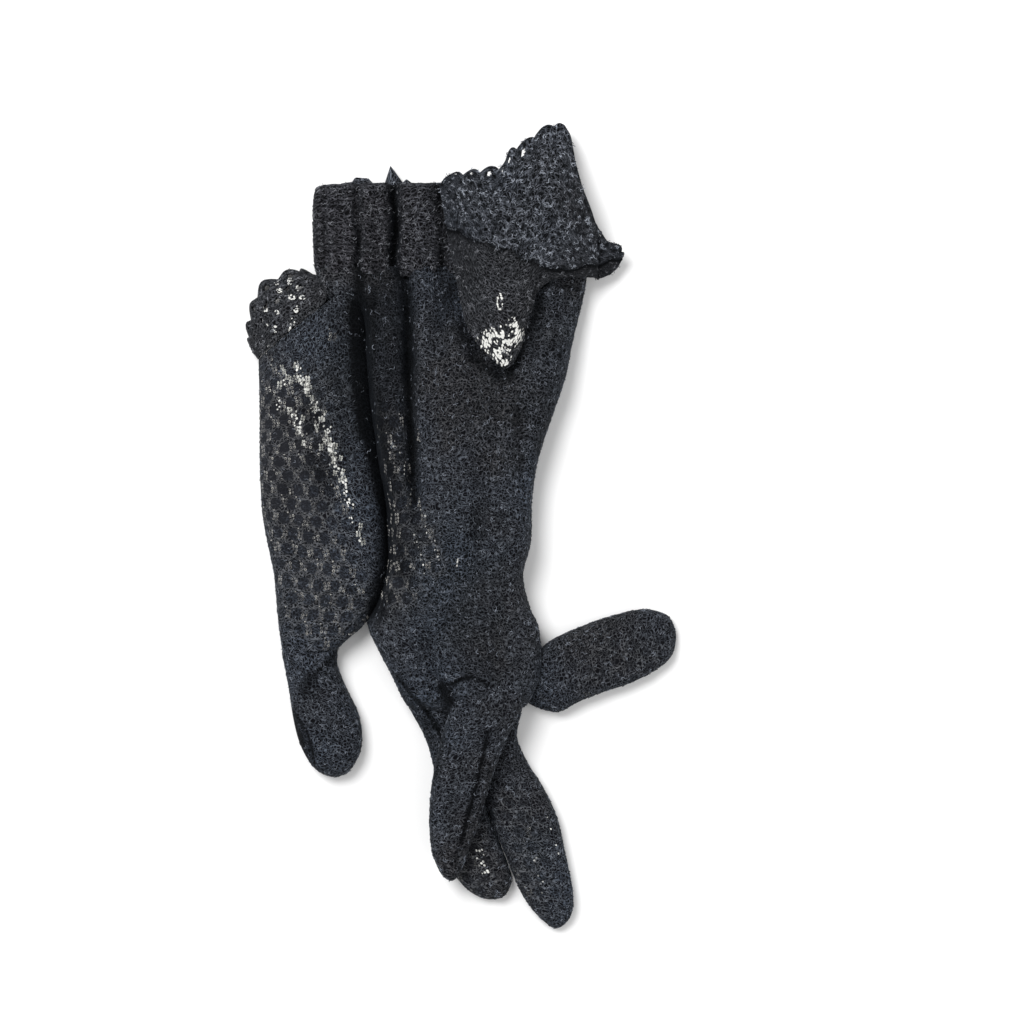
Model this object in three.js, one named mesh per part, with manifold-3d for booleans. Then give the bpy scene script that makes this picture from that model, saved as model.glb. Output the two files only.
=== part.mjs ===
// An evening glove in black stretch lace, lying loosely on its back wall: a gathered wrist band with a
// turned-out lace corner, a pleated hand with a slumped side fold, a thumb and four fingers.
// Millimetres, +Z up, the fingers towards -Y. The group's origin is the middle of its footprint.
import * as THREE from "three";
import { mergeVertices } from "three/addons/utils/BufferGeometryUtils.js";
import Module from "manifold-3d";

// Cloth and seams
const clothWall = 1.2; // a lace wall with the loft of its threads
const seamGap = 0.35; // between two sewn pieces
const restGap = 0.7; // between one layer of cloth and the layer that lies on it

// Hand
const handWidth = 105; // flat, at the wrist seam
const handLength = 130; // wrist seam to knuckles
const handHeight = 22; // as it lies, puffed

// Wrist band
const bandWidth = 85;
const bandLength = 27;
const bandHeight = 14;

// Turned-out lace corner on the wrist band, and the hems
const flapWidth = 56;
const flapLength = 78;
const flapBridge = 3; // how far past a rounded side it stays up before it falls
const flapDroop = 9; // how far its free corner hangs below the band's top
const scallopDepth = 1.7;
const eyeletRadius = 0.9;
const sideHemReach = 20; // the side fold's hem, from the outline in to the fold's mouth
const backHemRise = 6.2; // the tallest point of the hem behind the band

// Fingers
const fingerHeight = 9;
const thumbLength = 39;
const thumbWidth = 21.5;
const thumbHeight = 11;
const indexLength = 57;
const indexWidth = 21.5;
const middleLength = 64;
const middleWidth = 20;
const ringLength = 73;
const ringWidth = 20;
const littleLength = 42;
const littleWidth = 22;

// How a flattened tube of cloth lies: the share of its height at which it is widest, the share of its
// half turn over which it lies flat on the surface, and how square its top is.
const widestShare = 0.32;
const flatStart = 0.35;
const squareness = 0.72;

// The hand's front, a row for each section across it. Places are shares of the hand's width from its
// left side and of its length from the wrist seam; heights are shares of its height.
const handRows = [
  { left: 0.241, leftAlong: 0.005, right: 0.994, rightAlong: 0.005, height: 0.64 },
  { left: 0.259, leftAlong: 0.067, right: 0.979, rightAlong: 0.067, height: 0.72 },
  { left: 0.276, leftAlong: 0.162, right: 0.95, rightAlong: 0.162, height: 0.82 },
  { left: 0.294, leftAlong: 0.257, right: 0.926, rightAlong: 0.257, height: 0.91 },
  { left: 0.312, leftAlong: 0.352, right: 0.885, rightAlong: 0.352, height: 0.97 },
  { left: 0.329, leftAlong: 0.448, right: 0.847, rightAlong: 0.448, height: 1 },
  { left: 0.341, leftAlong: 0.543, right: 0.829, rightAlong: 0.543, height: 1 },
  { left: 0.347, leftAlong: 0.638, right: 0.826, rightAlong: 0.638, height: 0.97 },
  { left: 0.347, leftAlong: 0.721, right: 0.803, rightAlong: 0.721, height: 0.95 },
  { left: 0.344, leftAlong: 0.793, right: 0.821, rightAlong: 0.793, height: 0.92 },
  { left: 0.347, leftAlong: 0.843, right: 0.847, rightAlong: 0.843, height: 0.9 },
  { left: 0.382, leftAlong: 0.905, right: 0.857, rightAlong: 0.905, height: 0.88 },
  { left: 0.418, leftAlong: 0.96, right: 0.853, rightAlong: 0.96, height: 0.86 },
  { left: 0.441, leftAlong: 1, right: 0.835, rightAlong: 1, height: 0.86 },
];

// The side fold that slumps out to the left and carries the thumb, in the same shares.
const foldRows = [
  { left: 0.024, leftAlong: 0.21, right: 0.329, rightAlong: 0.012, height: 0.56 },
  { left: 0.026, leftAlong: 0.252, right: 0.341, rightAlong: 0.09, height: 0.64 },
  { left: 0.028, leftAlong: 0.305, right: 0.353, rightAlong: 0.186, height: 0.7 },
  { left: 0.029, leftAlong: 0.376, right: 0.365, rightAlong: 0.305, height: 0.74 },
  { left: 0.029, leftAlong: 0.448, right: 0.382, rightAlong: 0.424, height: 0.76 },
  { left: 0.032, leftAlong: 0.519, right: 0.397, rightAlong: 0.531, height: 0.76 },
  { left: 0.038, leftAlong: 0.583, right: 0.406, rightAlong: 0.614, height: 0.74 },
  { left: 0.053, leftAlong: 0.65, right: 0.409, rightAlong: 0.686, height: 0.71 },
  { left: 0.068, leftAlong: 0.705, right: 0.4, rightAlong: 0.745, height: 0.68 },
  { left: 0.076, leftAlong: 0.769, right: 0.376, rightAlong: 0.793, height: 0.63 },
  { left: 0.082, leftAlong: 0.829, right: 0.329, rightAlong: 0.843, height: 0.57 },
  { left: 0.088, leftAlong: 0.869, right: 0.279, rightAlong: 0.879, height: 0.52 },
  { left: 0.093, leftAlong: 0.9, right: 0.253, rightAlong: 0.9, height: 0.5 },
];

// Valleys in the hand's top: across at the start and at the end, where along the hand they run, and
// their depth and breadth as shares of the hand's height and width.
const handFolds = [
  { from: 0.36, to: 0.4, start: -0.1, end: 0.8, depth: 0.2, breadth: 0.03 },
  { from: 0.45, to: 0.475, start: -0.1, end: 0.5, depth: 0.22, breadth: 0.026 },
  { from: 0.69, to: 0.7, start: 0.36, end: 0.9, depth: 0.14, breadth: 0.03 },
  { from: 0.78, to: 0.82, start: 0.15, end: 0.45, depth: 0.12, breadth: 0.04 },
];
const sideFolds = [
  { from: 0.17, to: 0.24, start: 0.2, end: 0.62, depth: 0.14, breadth: 0.05 },
  { from: 0.1, to: 0.13, start: 0.3, end: 0.75, depth: 0.08, breadth: 0.03 },
];

// Gathers of the wrist band, across it as shares of its width, with their depth and breadth as shares
// of its height and width.
const gathers = [
  { at: 0.044, depth: 0.14, breadth: 0.02 },
  { at: 0.167, depth: 0.26, breadth: 0.025 },
  { at: 0.3, depth: 0.36, breadth: 0.03 },
  { at: 0.473, depth: 0.3, breadth: 0.03 },
  { at: 0.64, depth: 0.2, breadth: 0.035 },
  { at: 0.81, depth: 0.2, breadth: 0.035 },
];

// The wrist band from its seam with the hand to its mouth: how far its sides draw in, as a share of
// its width, and its height.
const bandRows = [
  { along: 0, drawn: 0, height: 1 },
  { along: 0.28, drawn: 0.006, height: 0.94 },
  { along: 0.6, drawn: 0.01, height: 0.97 },
  { along: 0.9, drawn: 0.012, height: 1 },
  { along: 1, drawn: 0.02, height: 0.96 },
];

// The lace corner: its scalloped edge and, opposite, its folded edge, in shares of its width and
// length from the corner of the band's mouth where it turns out.
const flapRows = [
  { edge: 0.033, edgeAlong: -0.012, fold: 0.006, foldAlong: 0.024 },
  { edge: 0.139, edgeAlong: -0.024, fold: 0.039, foldAlong: 0.164 },
  { edge: 0.239, edgeAlong: -0.036, fold: 0.094, foldAlong: 0.376 },
  { edge: 0.344, edgeAlong: -0.052, fold: 0.144, foldAlong: 0.544 },
  { edge: 0.378, edgeAlong: -0.108, fold: 0.222, foldAlong: 0.644 },
  { edge: 0.456, edgeAlong: -0.152, fold: 0.311, foldAlong: 0.712 },
  { edge: 0.55, edgeAlong: -0.228, fold: 0.378, foldAlong: 0.736 },
  { edge: 0.661, edgeAlong: -0.26, fold: 0.439, foldAlong: 0.672 },
  { edge: 0.717, edgeAlong: -0.196, fold: 0.478, foldAlong: 0.564 },
  { edge: 0.739, edgeAlong: -0.116, fold: 0.511, foldAlong: 0.464 },
  { edge: 0.772, edgeAlong: -0.008, fold: 0.583, foldAlong: 0.4 },
  { edge: 0.844, edgeAlong: 0.132, fold: 0.678, foldAlong: 0.376 },
  { edge: 0.911, edgeAlong: 0.216, fold: 0.778, foldAlong: 0.372 },
  { edge: 1, edgeAlong: 0.264, fold: 0.878, foldAlong: 0.368 },
  { edge: 0.978, edgeAlong: 0.328, fold: 0.944, foldAlong: 0.352 },
];

// The side fold's hem: its scalloped edge as shares of the reach, outwards from the fold's mouth, at a
// place along that mouth from its left end, and how far its inner edge stands off to clear the front.
const sideHemRows = [
  { along: 0, out: 0.1, inner: 0 },
  { along: 0.03, out: 0.3, inner: 0 },
  { along: 0.08, out: 0.45, inner: 0 },
  { along: 0.153, out: 0.58, inner: 0 },
  { along: 0.25, out: 0.73, inner: 0 },
  { along: 0.388, out: 0.837, inner: 0 },
  { along: 0.533, out: 0.766, inner: 0 },
  { along: 0.647, out: 0.69, inner: 0 },
  { along: 0.7, out: 0.58, inner: 0.06 },
  { along: 0.748, out: 0.43, inner: 0.22 },
  { along: 0.79, out: 0.36, inner: 0.3 },
];

// The points of the hem that stand past the band's mouth, across the band and in shares of the rise.
const backHemRows = [
  { at: 0.1, rise: 0.12 },
  { at: 0.14, rise: 0.2 },
  { at: 0.152, rise: 0.42 },
  { at: 0.2, rise: 0.36 },
  { at: 0.215, rise: 0.14 },
  { at: 0.26, rise: 0.16 },
  { at: 0.28, rise: 1 },
  { at: 0.312, rise: 0.4 },
  { at: 0.325, rise: 0.16 },
  { at: 0.338, rise: 0.34 },
  { at: 0.36, rise: 0.12 },
  { at: 0.46, rise: 0.16 },
  { at: 0.6, rise: 0.3 },
  { at: 0.75, rise: 0.22 },
  { at: 0.9, rise: 0.14 },
];

// The thumb and fingers, from mouth to tip: both edges in shares of the width from the middle of the
// mouth, and the height.
const thumbRows = [
  { along: 0, left: -0.386, right: 0.4, height: 1 },
  { along: 0.13, left: -0.35, right: 0.41, height: 0.96 },
  { along: 0.32, left: -0.286, right: 0.55, height: 0.98 },
  { along: 0.49, left: -0.243, right: 0.7, height: 1 },
  { along: 0.67, left: -0.171, right: 0.757, height: 0.98 },
  { along: 0.8, left: -0.08, right: 0.729, height: 0.9 },
  { along: 0.91, left: 0.043, right: 0.629, height: 0.76 },
  { along: 0.97, left: 0.18, right: 0.53, height: 0.58 },
];
const indexRows = [
  { along: 0, left: -0.51, right: 0.52, height: 1 },
  { along: 0.09, left: -0.51, right: 0.49, height: 1.02 },
  { along: 0.23, left: -0.63, right: 0.3, height: 1 },
  { along: 0.39, left: -0.73, right: 0.14, height: 0.96 },
  { along: 0.56, left: -0.79, right: 0, height: 0.92 },
  { along: 0.7, left: -0.8, right: -0.11, height: 0.86 },
  { along: 0.83, left: -0.77, right: -0.24, height: 0.8 },
  { along: 0.93, left: -0.68, right: -0.33, height: 0.66 },
  { along: 0.98, left: -0.58, right: -0.4, height: 0.54 },
];
const middleRows = [
  { along: 0, left: -0.5, right: 0.5, height: 1 },
  { along: 0.1, left: -0.33, right: 0.6, height: 0.98 },
  { along: 0.21, left: -0.14, right: 0.7, height: 0.95 },
  { along: 0.32, left: -0.03, right: 0.75, height: 0.94 },
  { along: 0.45, left: 0.05, right: 0.8, height: 0.94 },
  { along: 0.6, left: 0.11, right: 0.9, height: 0.96 },
  { along: 0.75, left: 0.19, right: 1.05, height: 0.94 },
  { along: 0.88, left: 0.34, right: 1.2, height: 0.86 },
  { along: 0.945, left: 0.5, right: 1.17, height: 0.74 },
  { along: 0.985, left: 0.69, right: 1.08, height: 0.58 },
];
const ringRows = [
  { along: 0, left: -0.47, right: 0.46, height: 1 },
  { along: 0.13, left: -0.38, right: 0.34, height: 1 },
  { along: 0.205, left: -0.34, right: 0.33, height: 1 },
  { along: 0.3, left: -0.28, right: 0.49, height: 1 },
  { along: 0.4, left: -0.23, right: 0.72, height: 1 },
  { along: 0.53, left: -0.09, right: 0.94, height: 1 },
  { along: 0.7, left: 0.16, right: 1.08, height: 0.96 },
  { along: 0.835, left: 0.36, right: 1.18, height: 0.88 },
  { along: 0.92, left: 0.56, right: 1.18, height: 0.76 },
  { along: 0.975, left: 0.76, right: 1.08, height: 0.58 },
];
const littleRows = [
  { along: 0, left: -0.54, right: 0.39, height: 1 },
  { along: 0.1, left: -0.53, right: 0.5, height: 1 },
  { along: 0.25, left: -0.41, right: 0.6, height: 1 },
  { along: 0.43, left: -0.31, right: 0.7, height: 0.98 },
  { along: 0.61, left: -0.23, right: 0.77, height: 0.94 },
  { along: 0.78, left: -0.11, right: 0.8, height: 0.86 },
  { along: 0.91, left: 0.03, right: 0.73, height: 0.72 },
  { along: 0.97, left: 0.17, right: 0.63, height: 0.56 },
];

const wasm = await Module();
wasm.setup();

// A column of a table at a share of the way through its rows, or at a value of another column.
function between(rows, name, share) {
  const place = THREE.MathUtils.clamp(share, 0, 1) * (rows.length - 1);
  const row = Math.min(Math.floor(place), rows.length - 2);
  return THREE.MathUtils.lerp(rows[row][name], rows[row + 1][name], place - row);
}

function columnAt(rows, key, value, name) {
  const last = rows.length - 1;
  let row = 0;
  while (row < last - 1 && rows[row + 1][key] < value) row += 1;
  const span = rows[row + 1][key] - rows[row][key];
  const share = THREE.MathUtils.clamp((value - rows[row][key]) / span, 0, 1);
  return THREE.MathUtils.lerp(rows[row][name], rows[row + 1][name], share);
}

// The height of a flattened tube's top over its base, across from -1 at one side to 1 at the other.
function topAcross(across, height) {
  const inside = Math.max(0, 1 - Math.abs(across) ** (2 / squareness));
  const widest = widestShare * height;
  return widest + (height - widest) * inside ** (squareness / 2);
}

// One closed ring of a flattened tube of cloth. It stands on the line between two points of the
// plan, flat below and rounded above, inset from the outer skin; dip lowers its top where it is folded.
function clothRing({ left, right, base, height, sides, inset, dip }) {
  const middle = left.clone().add(right).multiplyScalar(0.5);
  const across = right.clone().sub(left).normalize();
  const half = left.distanceTo(right) / 2 - inset;
  const floor = base + inset;
  const inner = height - 2 * inset;
  const widest = widestShare * inner;
  const ring = [];
  for (let i = 0; i < sides; i += 1) {
    const turn = (2 * Math.PI * i) / sides;
    const c = Math.cos(turn);
    const s = Math.sin(turn);
    const out = half * Math.sign(c) * Math.abs(c) ** squareness;
    const point = middle.clone().addScaledVector(across, out);
    let z = floor;
    if (s >= 0) {
      z += widest + (inner - widest) * s ** squareness;
      z = Math.max(z - dip(point, s), floor + widest);
    } else {
      z += widest * Math.max(0, 1 - -s / flatStart) ** 2;
    }
    ring.push(new THREE.Vector3(point.x, point.y, z));
  }
  return ring;
}

const noDip = () => 0;

// Points and triangles gathered into one closed mesh.
class Skin {
  constructor() {
    this.points = [];
    this.index = [];
  }

  ring(points) {
    const start = this.points.length;
    this.points.push(...points);
    return points.map((_, i) => start + i);
  }

  band(one, two, flip) {
    one.forEach((a, i) => {
      const next = (i + 1) % one.length;
      this.quad(a, one[next], two[next], two[i], flip);
    });
  }

  quad(a, b, c, d, flip) {
    if (flip) this.index.push(a, c, b, a, d, c);
    else this.index.push(a, b, c, a, c, d);
  }

  cap(ring, tip, flip) {
    const [top] = this.ring([tip]);
    ring.forEach((a, i) => {
      const b = ring[(i + 1) % ring.length];
      if (flip) this.index.push(a, top, b);
      else this.index.push(a, b, top);
    });
  }

  geometry() {
    const geometry = new THREE.BufferGeometry().setFromPoints(this.points);
    geometry.setIndex(this.index);
    return geometry;
  }
}

// A tube of cloth between two open ends, or down to a closed tip, from rings of its outer and inner
// skin that run from the mouth.
function clothTube(outer, inner, tip) {
  const skin = new Skin();
  const out = outer.map((ring) => skin.ring(ring));
  const inn = inner.map((ring) => skin.ring(ring));
  for (let i = 0; i + 1 < out.length; i += 1) skin.band(out[i], out[i + 1], false);
  for (let i = 0; i + 1 < inn.length; i += 1) skin.band(inn[i], inn[i + 1], true);
  skin.band(out[0], inn[0], true);
  if (tip) {
    skin.cap(out.at(-1), tip.outer, false);
    skin.cap(inn.at(-1), tip.inner, true);
  } else {
    skin.band(out.at(-1), inn.at(-1), false);
  }
  return skin.geometry();
}

// A solid block with the shape of one skin, closed at both ends.
function block(rings) {
  const skin = new Skin();
  const rows = rings.map((ring) => skin.ring(ring));
  for (let i = 0; i + 1 < rows.length; i += 1) skin.band(rows[i], rows[i + 1], false);
  skin.cap(rows[0], centreOf(rings[0]), true);
  skin.cap(rows.at(-1), centreOf(rings.at(-1)), false);
  return skin.geometry();
}

function centreOf(ring) {
  const sum = ring.reduce((total, point) => total.add(point), new THREE.Vector3());
  return sum.divideScalar(ring.length);
}

// A single layer of cloth over a grid of shares, thickened below.
function clothSheet(pointAt, columns, rows) {
  const skin = new Skin();
  const step = 0.001;
  const layers = [0, clothWall].map((depth) => {
    const grid = [];
    for (let r = 0; r <= rows; r += 1) {
      const line = [];
      for (let c = 0; c <= columns; c += 1) {
        const u = c / columns;
        const v = r / rows;
        const point = pointAt(u, v);
        const du = pointAt(Math.min(u + step, 1), v).sub(pointAt(Math.max(u - step, 0), v));
        const dv = pointAt(u, Math.min(v + step, 1)).sub(pointAt(u, Math.max(v - step, 0)));
        const up = du.cross(dv).normalize();
        if (up.z < 0) up.negate();
        up.z = Math.max(up.z, 0.5);
        line.push(point.addScaledVector(up.normalize(), -depth));
      }
      grid.push(skin.ring(line));
    }
    return grid;
  });
  const [top, under] = layers;
  const edge = [];
  for (let c = 0; c < columns; c += 1) edge.push([0, c]);
  for (let r = 0; r < rows; r += 1) edge.push([r, columns]);
  for (let c = columns; c > 0; c -= 1) edge.push([rows, c]);
  for (let r = rows; r > 0; r -= 1) edge.push([r, 0]);
  for (let r = 0; r < rows; r += 1) {
    for (let c = 0; c < columns; c += 1) {
      skin.quad(top[r][c], top[r][c + 1], top[r + 1][c + 1], top[r + 1][c], true);
      skin.quad(under[r][c], under[r][c + 1], under[r + 1][c + 1], under[r + 1][c], false);
    }
  }
  edge.forEach(([r, c], i) => {
    const [r2, c2] = edge[(i + 1) % edge.length];
    skin.quad(top[r][c], top[r2][c2], under[r2][c2], under[r][c], false);
  });
  return skin.geometry();
}

function solid(geometry) {
  const bare = geometry.clone();
  bare.deleteAttribute("normal");
  bare.deleteAttribute("uv");
  const merged = mergeVertices(bare, 1e-4);
  const made = new wasm.Manifold(
    new wasm.Mesh({
      numProp: 3,
      vertProperties: merged.attributes.position.array,
      triVerts: new Uint32Array(merged.index.array),
    }),
  );
  return made;
}

function geometryOf(manifold) {
  const { vertProperties, triVerts } = manifold.getMesh();
  const geometry = new THREE.BufferGeometry();
  geometry.setAttribute("position", new THREE.BufferAttribute(vertProperties, 3));
  geometry.setIndex([...triVerts]);
  return geometry;
}

// The plan of the hand: shares of its width and length to a point.
const plan = (across, along) => new THREE.Vector2(across * handWidth, -along * handLength);

// How far the valleys of a table lower the hand's top at a point.
function valleys(table) {
  return (point, rise) => {
    const across = point.x / handWidth;
    const along = -point.y / handLength;
    return table.reduce((sum, fold) => {
      const share = (along - fold.start) / (fold.end - fold.start);
      if (share <= 0 || share >= 1) return sum;
      const at = THREE.MathUtils.lerp(fold.from, fold.to, share);
      const near = Math.exp(-(((across - at) / fold.breadth) ** 2));
      return sum + handHeight * fold.depth * near * Math.sin(Math.PI * share) ** 0.5 * rise;
    }, 0);
  };
}

function handRings(rows, sides, inset, dip) {
  return rows.map((row) =>
    clothRing({
      left: plan(row.left, row.leftAlong),
      right: plan(row.right, row.rightAlong),
      base: 0,
      height: row.height * handHeight,
      sides,
      inset,
      dip,
    }),
  );
}

// Moves the first or last ring out along the tube, so that a cut goes right through its end.
function lengthened(rings, reach) {
  const ends = rings.map((ring) => ring.map((point) => point.clone()));
  const push = (end, next) => {
    const way = centreOf(end).sub(centreOf(next)).setZ(0).setLength(reach);
    end.forEach((point) => point.add(way));
  };
  push(ends[0], rings[1]);
  push(ends.at(-1), rings.at(-2));
  return ends;
}

const fingerSides = 16;

// A finger of cloth: rings from its mouth to its tip. mouth holds the middle of the mouth, the way the
// finger points and its left side; limit keeps an edge clear of the finger beside it.
function fingerRings(rows, shape, inset) {
  const { mouth, way, length, width, height, base, limit } = shape;
  const side = new THREE.Vector2(-way.y, way.x);
  const reach = length - inset;
  return rows.map((row) => {
    const at = mouth.clone().addScaledVector(way, row.along * reach);
    const left = at.clone().addScaledVector(side, row.left * width);
    const right = at.clone().addScaledVector(side, row.right * width);
    if (limit) right.x = Math.min(right.x, limit(right.y));
    return clothRing({
      left,
      right,
      base,
      height: row.height * height,
      sides: fingerSides,
      inset,
      dip: noDip,
    });
  });
}

function finger(rows, shape) {
  const outer = fingerRings(rows, shape, 0);
  const inner = fingerRings(rows, shape, clothWall);
  const { way, length } = shape;
  const tipOf = (rings, inset) => {
    const last = centreOf(rings.at(-1));
    const left = (1 - rows.at(-1).along) * (length - inset);
    return new THREE.Vector3(last.x + way.x * left, last.y + way.y * left, last.z);
  };
  const tip = { outer: tipOf(outer, 0), inner: tipOf(inner, clothWall) };
  return clothTube(outer, inner, tip);
}

const down = new THREE.Vector2(0, -1);

// The middle of a finger's mouth on the hand's end, from shares across that end.
function mouthOnHand(share) {
  const end = handRows.at(-1);
  const across = THREE.MathUtils.lerp(end.left, end.right, share);
  return plan(across, end.leftAlong).add(new THREE.Vector2(0, -seamGap));
}

const middleMouth = 0.25;
const ringMouth = 0.72;
const indexMouth = 0.64;

const ringShape = {
  mouth: mouthOnHand(ringMouth),
  way: down,
  length: ringLength,
  width: ringWidth,
  height: fingerHeight,
  base: 0,
};

// The ring finger's left edge at a place down the hand, which the middle finger lies against.
function besideRing(y) {
  const along = (ringShape.mouth.y - y) / ringLength;
  const share = columnAt(ringRows, "along", along, "left");
  return ringShape.mouth.x + share * ringWidth - seamGap;
}

const middleShape = {
  mouth: mouthOnHand(middleMouth),
  way: down,
  length: middleLength,
  width: middleWidth,
  height: fingerHeight,
  base: 0,
  limit: besideRing,
};

// The index finger lies folded over the middle and ring fingers.
const indexShape = {
  mouth: mouthOnHand(indexMouth),
  way: down,
  length: indexLength,
  width: indexWidth,
  height: fingerHeight,
  base: fingerHeight + restGap,
};

const foldEnd = foldRows.at(-1);
const thumbShape = {
  mouth: plan((foldEnd.left + foldEnd.right) / 2, foldEnd.leftAlong).add(
    new THREE.Vector2(0, -seamGap),
  ),
  way: down,
  length: thumbLength,
  width: thumbWidth,
  height: thumbHeight,
  base: 0,
};

// The little finger leaves the hand's right side, pointing a little up from across.
const littleLean = THREE.MathUtils.degToRad(5);
const littleRoot = 0.96;
const littleWay = new THREE.Vector2(Math.cos(littleLean), Math.sin(littleLean));
const littleShape = {
  mouth: plan(columnAt(handRows, "rightAlong", 0.905, "right"), littleRoot).addScaledVector(
    littleWay,
    restGap,
  ),
  way: littleWay,
  length: littleLength,
  width: littleWidth,
  height: fingerHeight,
  base: 0,
};

// The hand: its front and its side fold are one hollow, open at the wrist, the thumb and the fingers,
// with a hole in its right side for the little finger.
function handGeometry() {
  const frontSides = 36;
  const foldSides = 22;
  const front = (inset) => handRings(handRows, frontSides, inset, valleys(handFolds));
  const fold = (inset) => handRings(foldRows, foldSides, inset, valleys(sideFolds));
  const cutPast = 2 * clothWall;
  const littleHole = fingerRings(littleRows, littleShape, clothWall).slice(0, 2);
  const reachIn = littleWay.clone().multiplyScalar(-4 * clothWall);
  littleHole[0].forEach((point) => point.add(new THREE.Vector3(reachIn.x, reachIn.y, 0)));
  return geometryOf(
    solid(block(front(0)))
      .add(solid(block(fold(0))))
      .subtract(solid(block(lengthened(front(clothWall), cutPast))))
      .subtract(solid(block(lengthened(fold(clothWall), cutPast))))
      .subtract(solid(block(littleHole))),
  );
}

// The wrist band, gathered on its elastic, from the hand's seam to its mouth.
const bandRight = handRows[0].right * handWidth;
const bandSeam = -handRows[0].leftAlong * handLength + seamGap;

function bandEnds(row) {
  const y = bandSeam + row.along * bandLength;
  return {
    left: new THREE.Vector2(bandRight - bandWidth, y),
    right: new THREE.Vector2(bandRight - row.drawn * bandWidth, y),
  };
}

function bandGeometry() {
  const sides = 56;
  const gathered = (point, rise) => {
    const across = (point.x - (bandRight - bandWidth)) / bandWidth;
    return gathers.reduce((sum, gather) => {
      const near = Math.exp(-(((across - gather.at) / gather.breadth) ** 2));
      return sum + bandHeight * gather.depth * near * rise;
    }, 0);
  };
  const rings = (inset) =>
    bandRows.map((row) =>
      clothRing({
        ...bandEnds(row),
        base: 0,
        height: row.height * bandHeight,
        sides,
        inset,
        dip: gathered,
      }),
    );
  return clothTube(rings(0).reverse(), rings(clothWall).reverse());
}

// The height of what lies under the lace corner: the band, past its mouth a slope down from it, and
// the hand below its seam.
function supportHeight(x, y) {
  const over = (left, right, height) => {
    const across = (2 * x - left - right) / (right - left + 2 * flapBridge);
    return across < 1 ? topAcross(across, height) : widestShare * height;
  };
  const band = over(bandRight - bandWidth, bandRight, bandHeight);
  const past = Math.max(0, y - bandSeam - bandLength);
  const fall = flapDroop * Math.min(1, past / (-flapRows[7].edgeAlong * flapLength));
  if (y >= bandSeam) return band - fall;
  const along = -y / handLength;
  const share = (name) => columnAt(handRows, "leftAlong", along, name);
  const hand = over(share("left") * handWidth, share("right") * handWidth, share("height") * handHeight);
  const near = Math.min(1, (bandSeam - y) / bandLength);
  return Math.max(hand, THREE.MathUtils.lerp(band, hand, near));
}

const flapCorner = new THREE.Vector2(bandRight - bandWidth * 0.54, bandSeam + bandLength);
const flapScallops = 15;

function flapPoint(u, v) {
  const at = (name) => between(flapRows, name, u);
  const edge = new THREE.Vector2(at("edge") * flapWidth, -at("edgeAlong") * flapLength);
  const fold = new THREE.Vector2(at("fold") * flapWidth, -at("foldAlong") * flapLength);
  const outward = edge.clone().sub(fold).normalize();
  edge.addScaledVector(outward, scallopDepth * Math.abs(Math.sin(Math.PI * flapScallops * u)));
  const flat = edge.lerp(fold, v).add(flapCorner);
  return new THREE.Vector3(flat.x, flat.y, supportHeight(flat.x, flat.y) + clothWall + restGap);
}

// Straight holes through a sheet at shares of its grid.
function eyelets(places, pointAt) {
  const sides = 6;
  const depth = 4 * clothWall;
  return places.map(([u, v]) => {
    const point = pointAt(u, v);
    const hole = new THREE.CylinderGeometry(eyeletRadius, eyeletRadius, depth, sides);
    hole.rotateX(Math.PI / 2);
    hole.translate(point.x, point.y, point.z - clothWall / 2);
    return solid(hole);
  });
}

function pierced(sheet, holes) {
  return geometryOf(holes.reduce((left, hole) => left.subtract(hole), solid(sheet)));
}

function flapGeometry() {
  const columns = 60;
  const rows = 7;
  const places = [];
  for (let i = 1; i < flapScallops - 1; i += 1) {
    places.push([(i + 0.5) / flapScallops, i > 11 ? 0.2 : 0.045]);
    if (i > 1 && i < 11) places.push([i / flapScallops, 0.13], [(i + 0.5) / flapScallops, 0.22]);
  }
  return pierced(clothSheet(flapPoint, columns, rows), eyelets(places, flapPoint));
}

// The side fold's hem bends from the floor up to the fold's mouth.
const sideHemScallops = 7;
const foldMouth = foldRows[0];

function sideHemPoint(u, v) {
  const left = plan(foldMouth.left, foldMouth.leftAlong);
  const right = plan(foldMouth.right, foldMouth.rightAlong);
  const mouth = right.clone().sub(left);
  const out = new THREE.Vector2(-mouth.y, mouth.x).normalize();
  const along = between(sideHemRows, "along", u);
  const stand = between(sideHemRows, "inner", u) * sideHemReach;
  const reach = between(sideHemRows, "out", u) * sideHemReach - stand;
  const fade = Math.min(1, 4 * (1 - u));
  const scallop = fade * scallopDepth * Math.abs(Math.sin(Math.PI * sideHemScallops * u));
  const inner = left.clone().addScaledVector(mouth, along).addScaledVector(out, seamGap + stand);
  const outer = inner.clone().addScaledVector(out, reach + scallop);
  const flat = outer.lerp(inner, v);
  const top = topAcross(2 * along - 1, foldMouth.height * handHeight);
  const rise = clothWall + (top - clothWall) * Math.sin((v * Math.PI) / 2) ** 0.8;
  return new THREE.Vector3(flat.x, flat.y, rise);
}

function sideHemGeometry() {
  const columns = 35;
  const rows = 5;
  const places = [];
  for (let i = 2; i < sideHemScallops; i += 1) {
    places.push([(i + 0.5) / sideHemScallops, 0.16], [i / sideHemScallops, 0.42]);
  }
  return pierced(clothSheet(sideHemPoint, columns, rows), eyelets(places, sideHemPoint));
}

// The hem's points past the band's mouth lie on the floor behind it.
function backHemGeometry() {
  const mouth = bandSeam + bandLength + seamGap;
  const point = (u, v) => {
    const x = bandRight - bandWidth + between(backHemRows, "at", u) * bandWidth;
    const rise = between(backHemRows, "rise", u) * backHemRise;
    return new THREE.Vector3(x, mouth + rise * (1 - v), clothWall);
  };
  return clothSheet(point, backHemRows.length - 1, 1);
}

// Black stretch lace, fine on the hand and coarser at the hems
const lace = { color: 0x2b2e35, roughness: 0.9, metalness: 0, side: THREE.DoubleSide };
const coarseLace = { ...lace, color: 0x34373f };

const glove = new THREE.Group();

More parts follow.
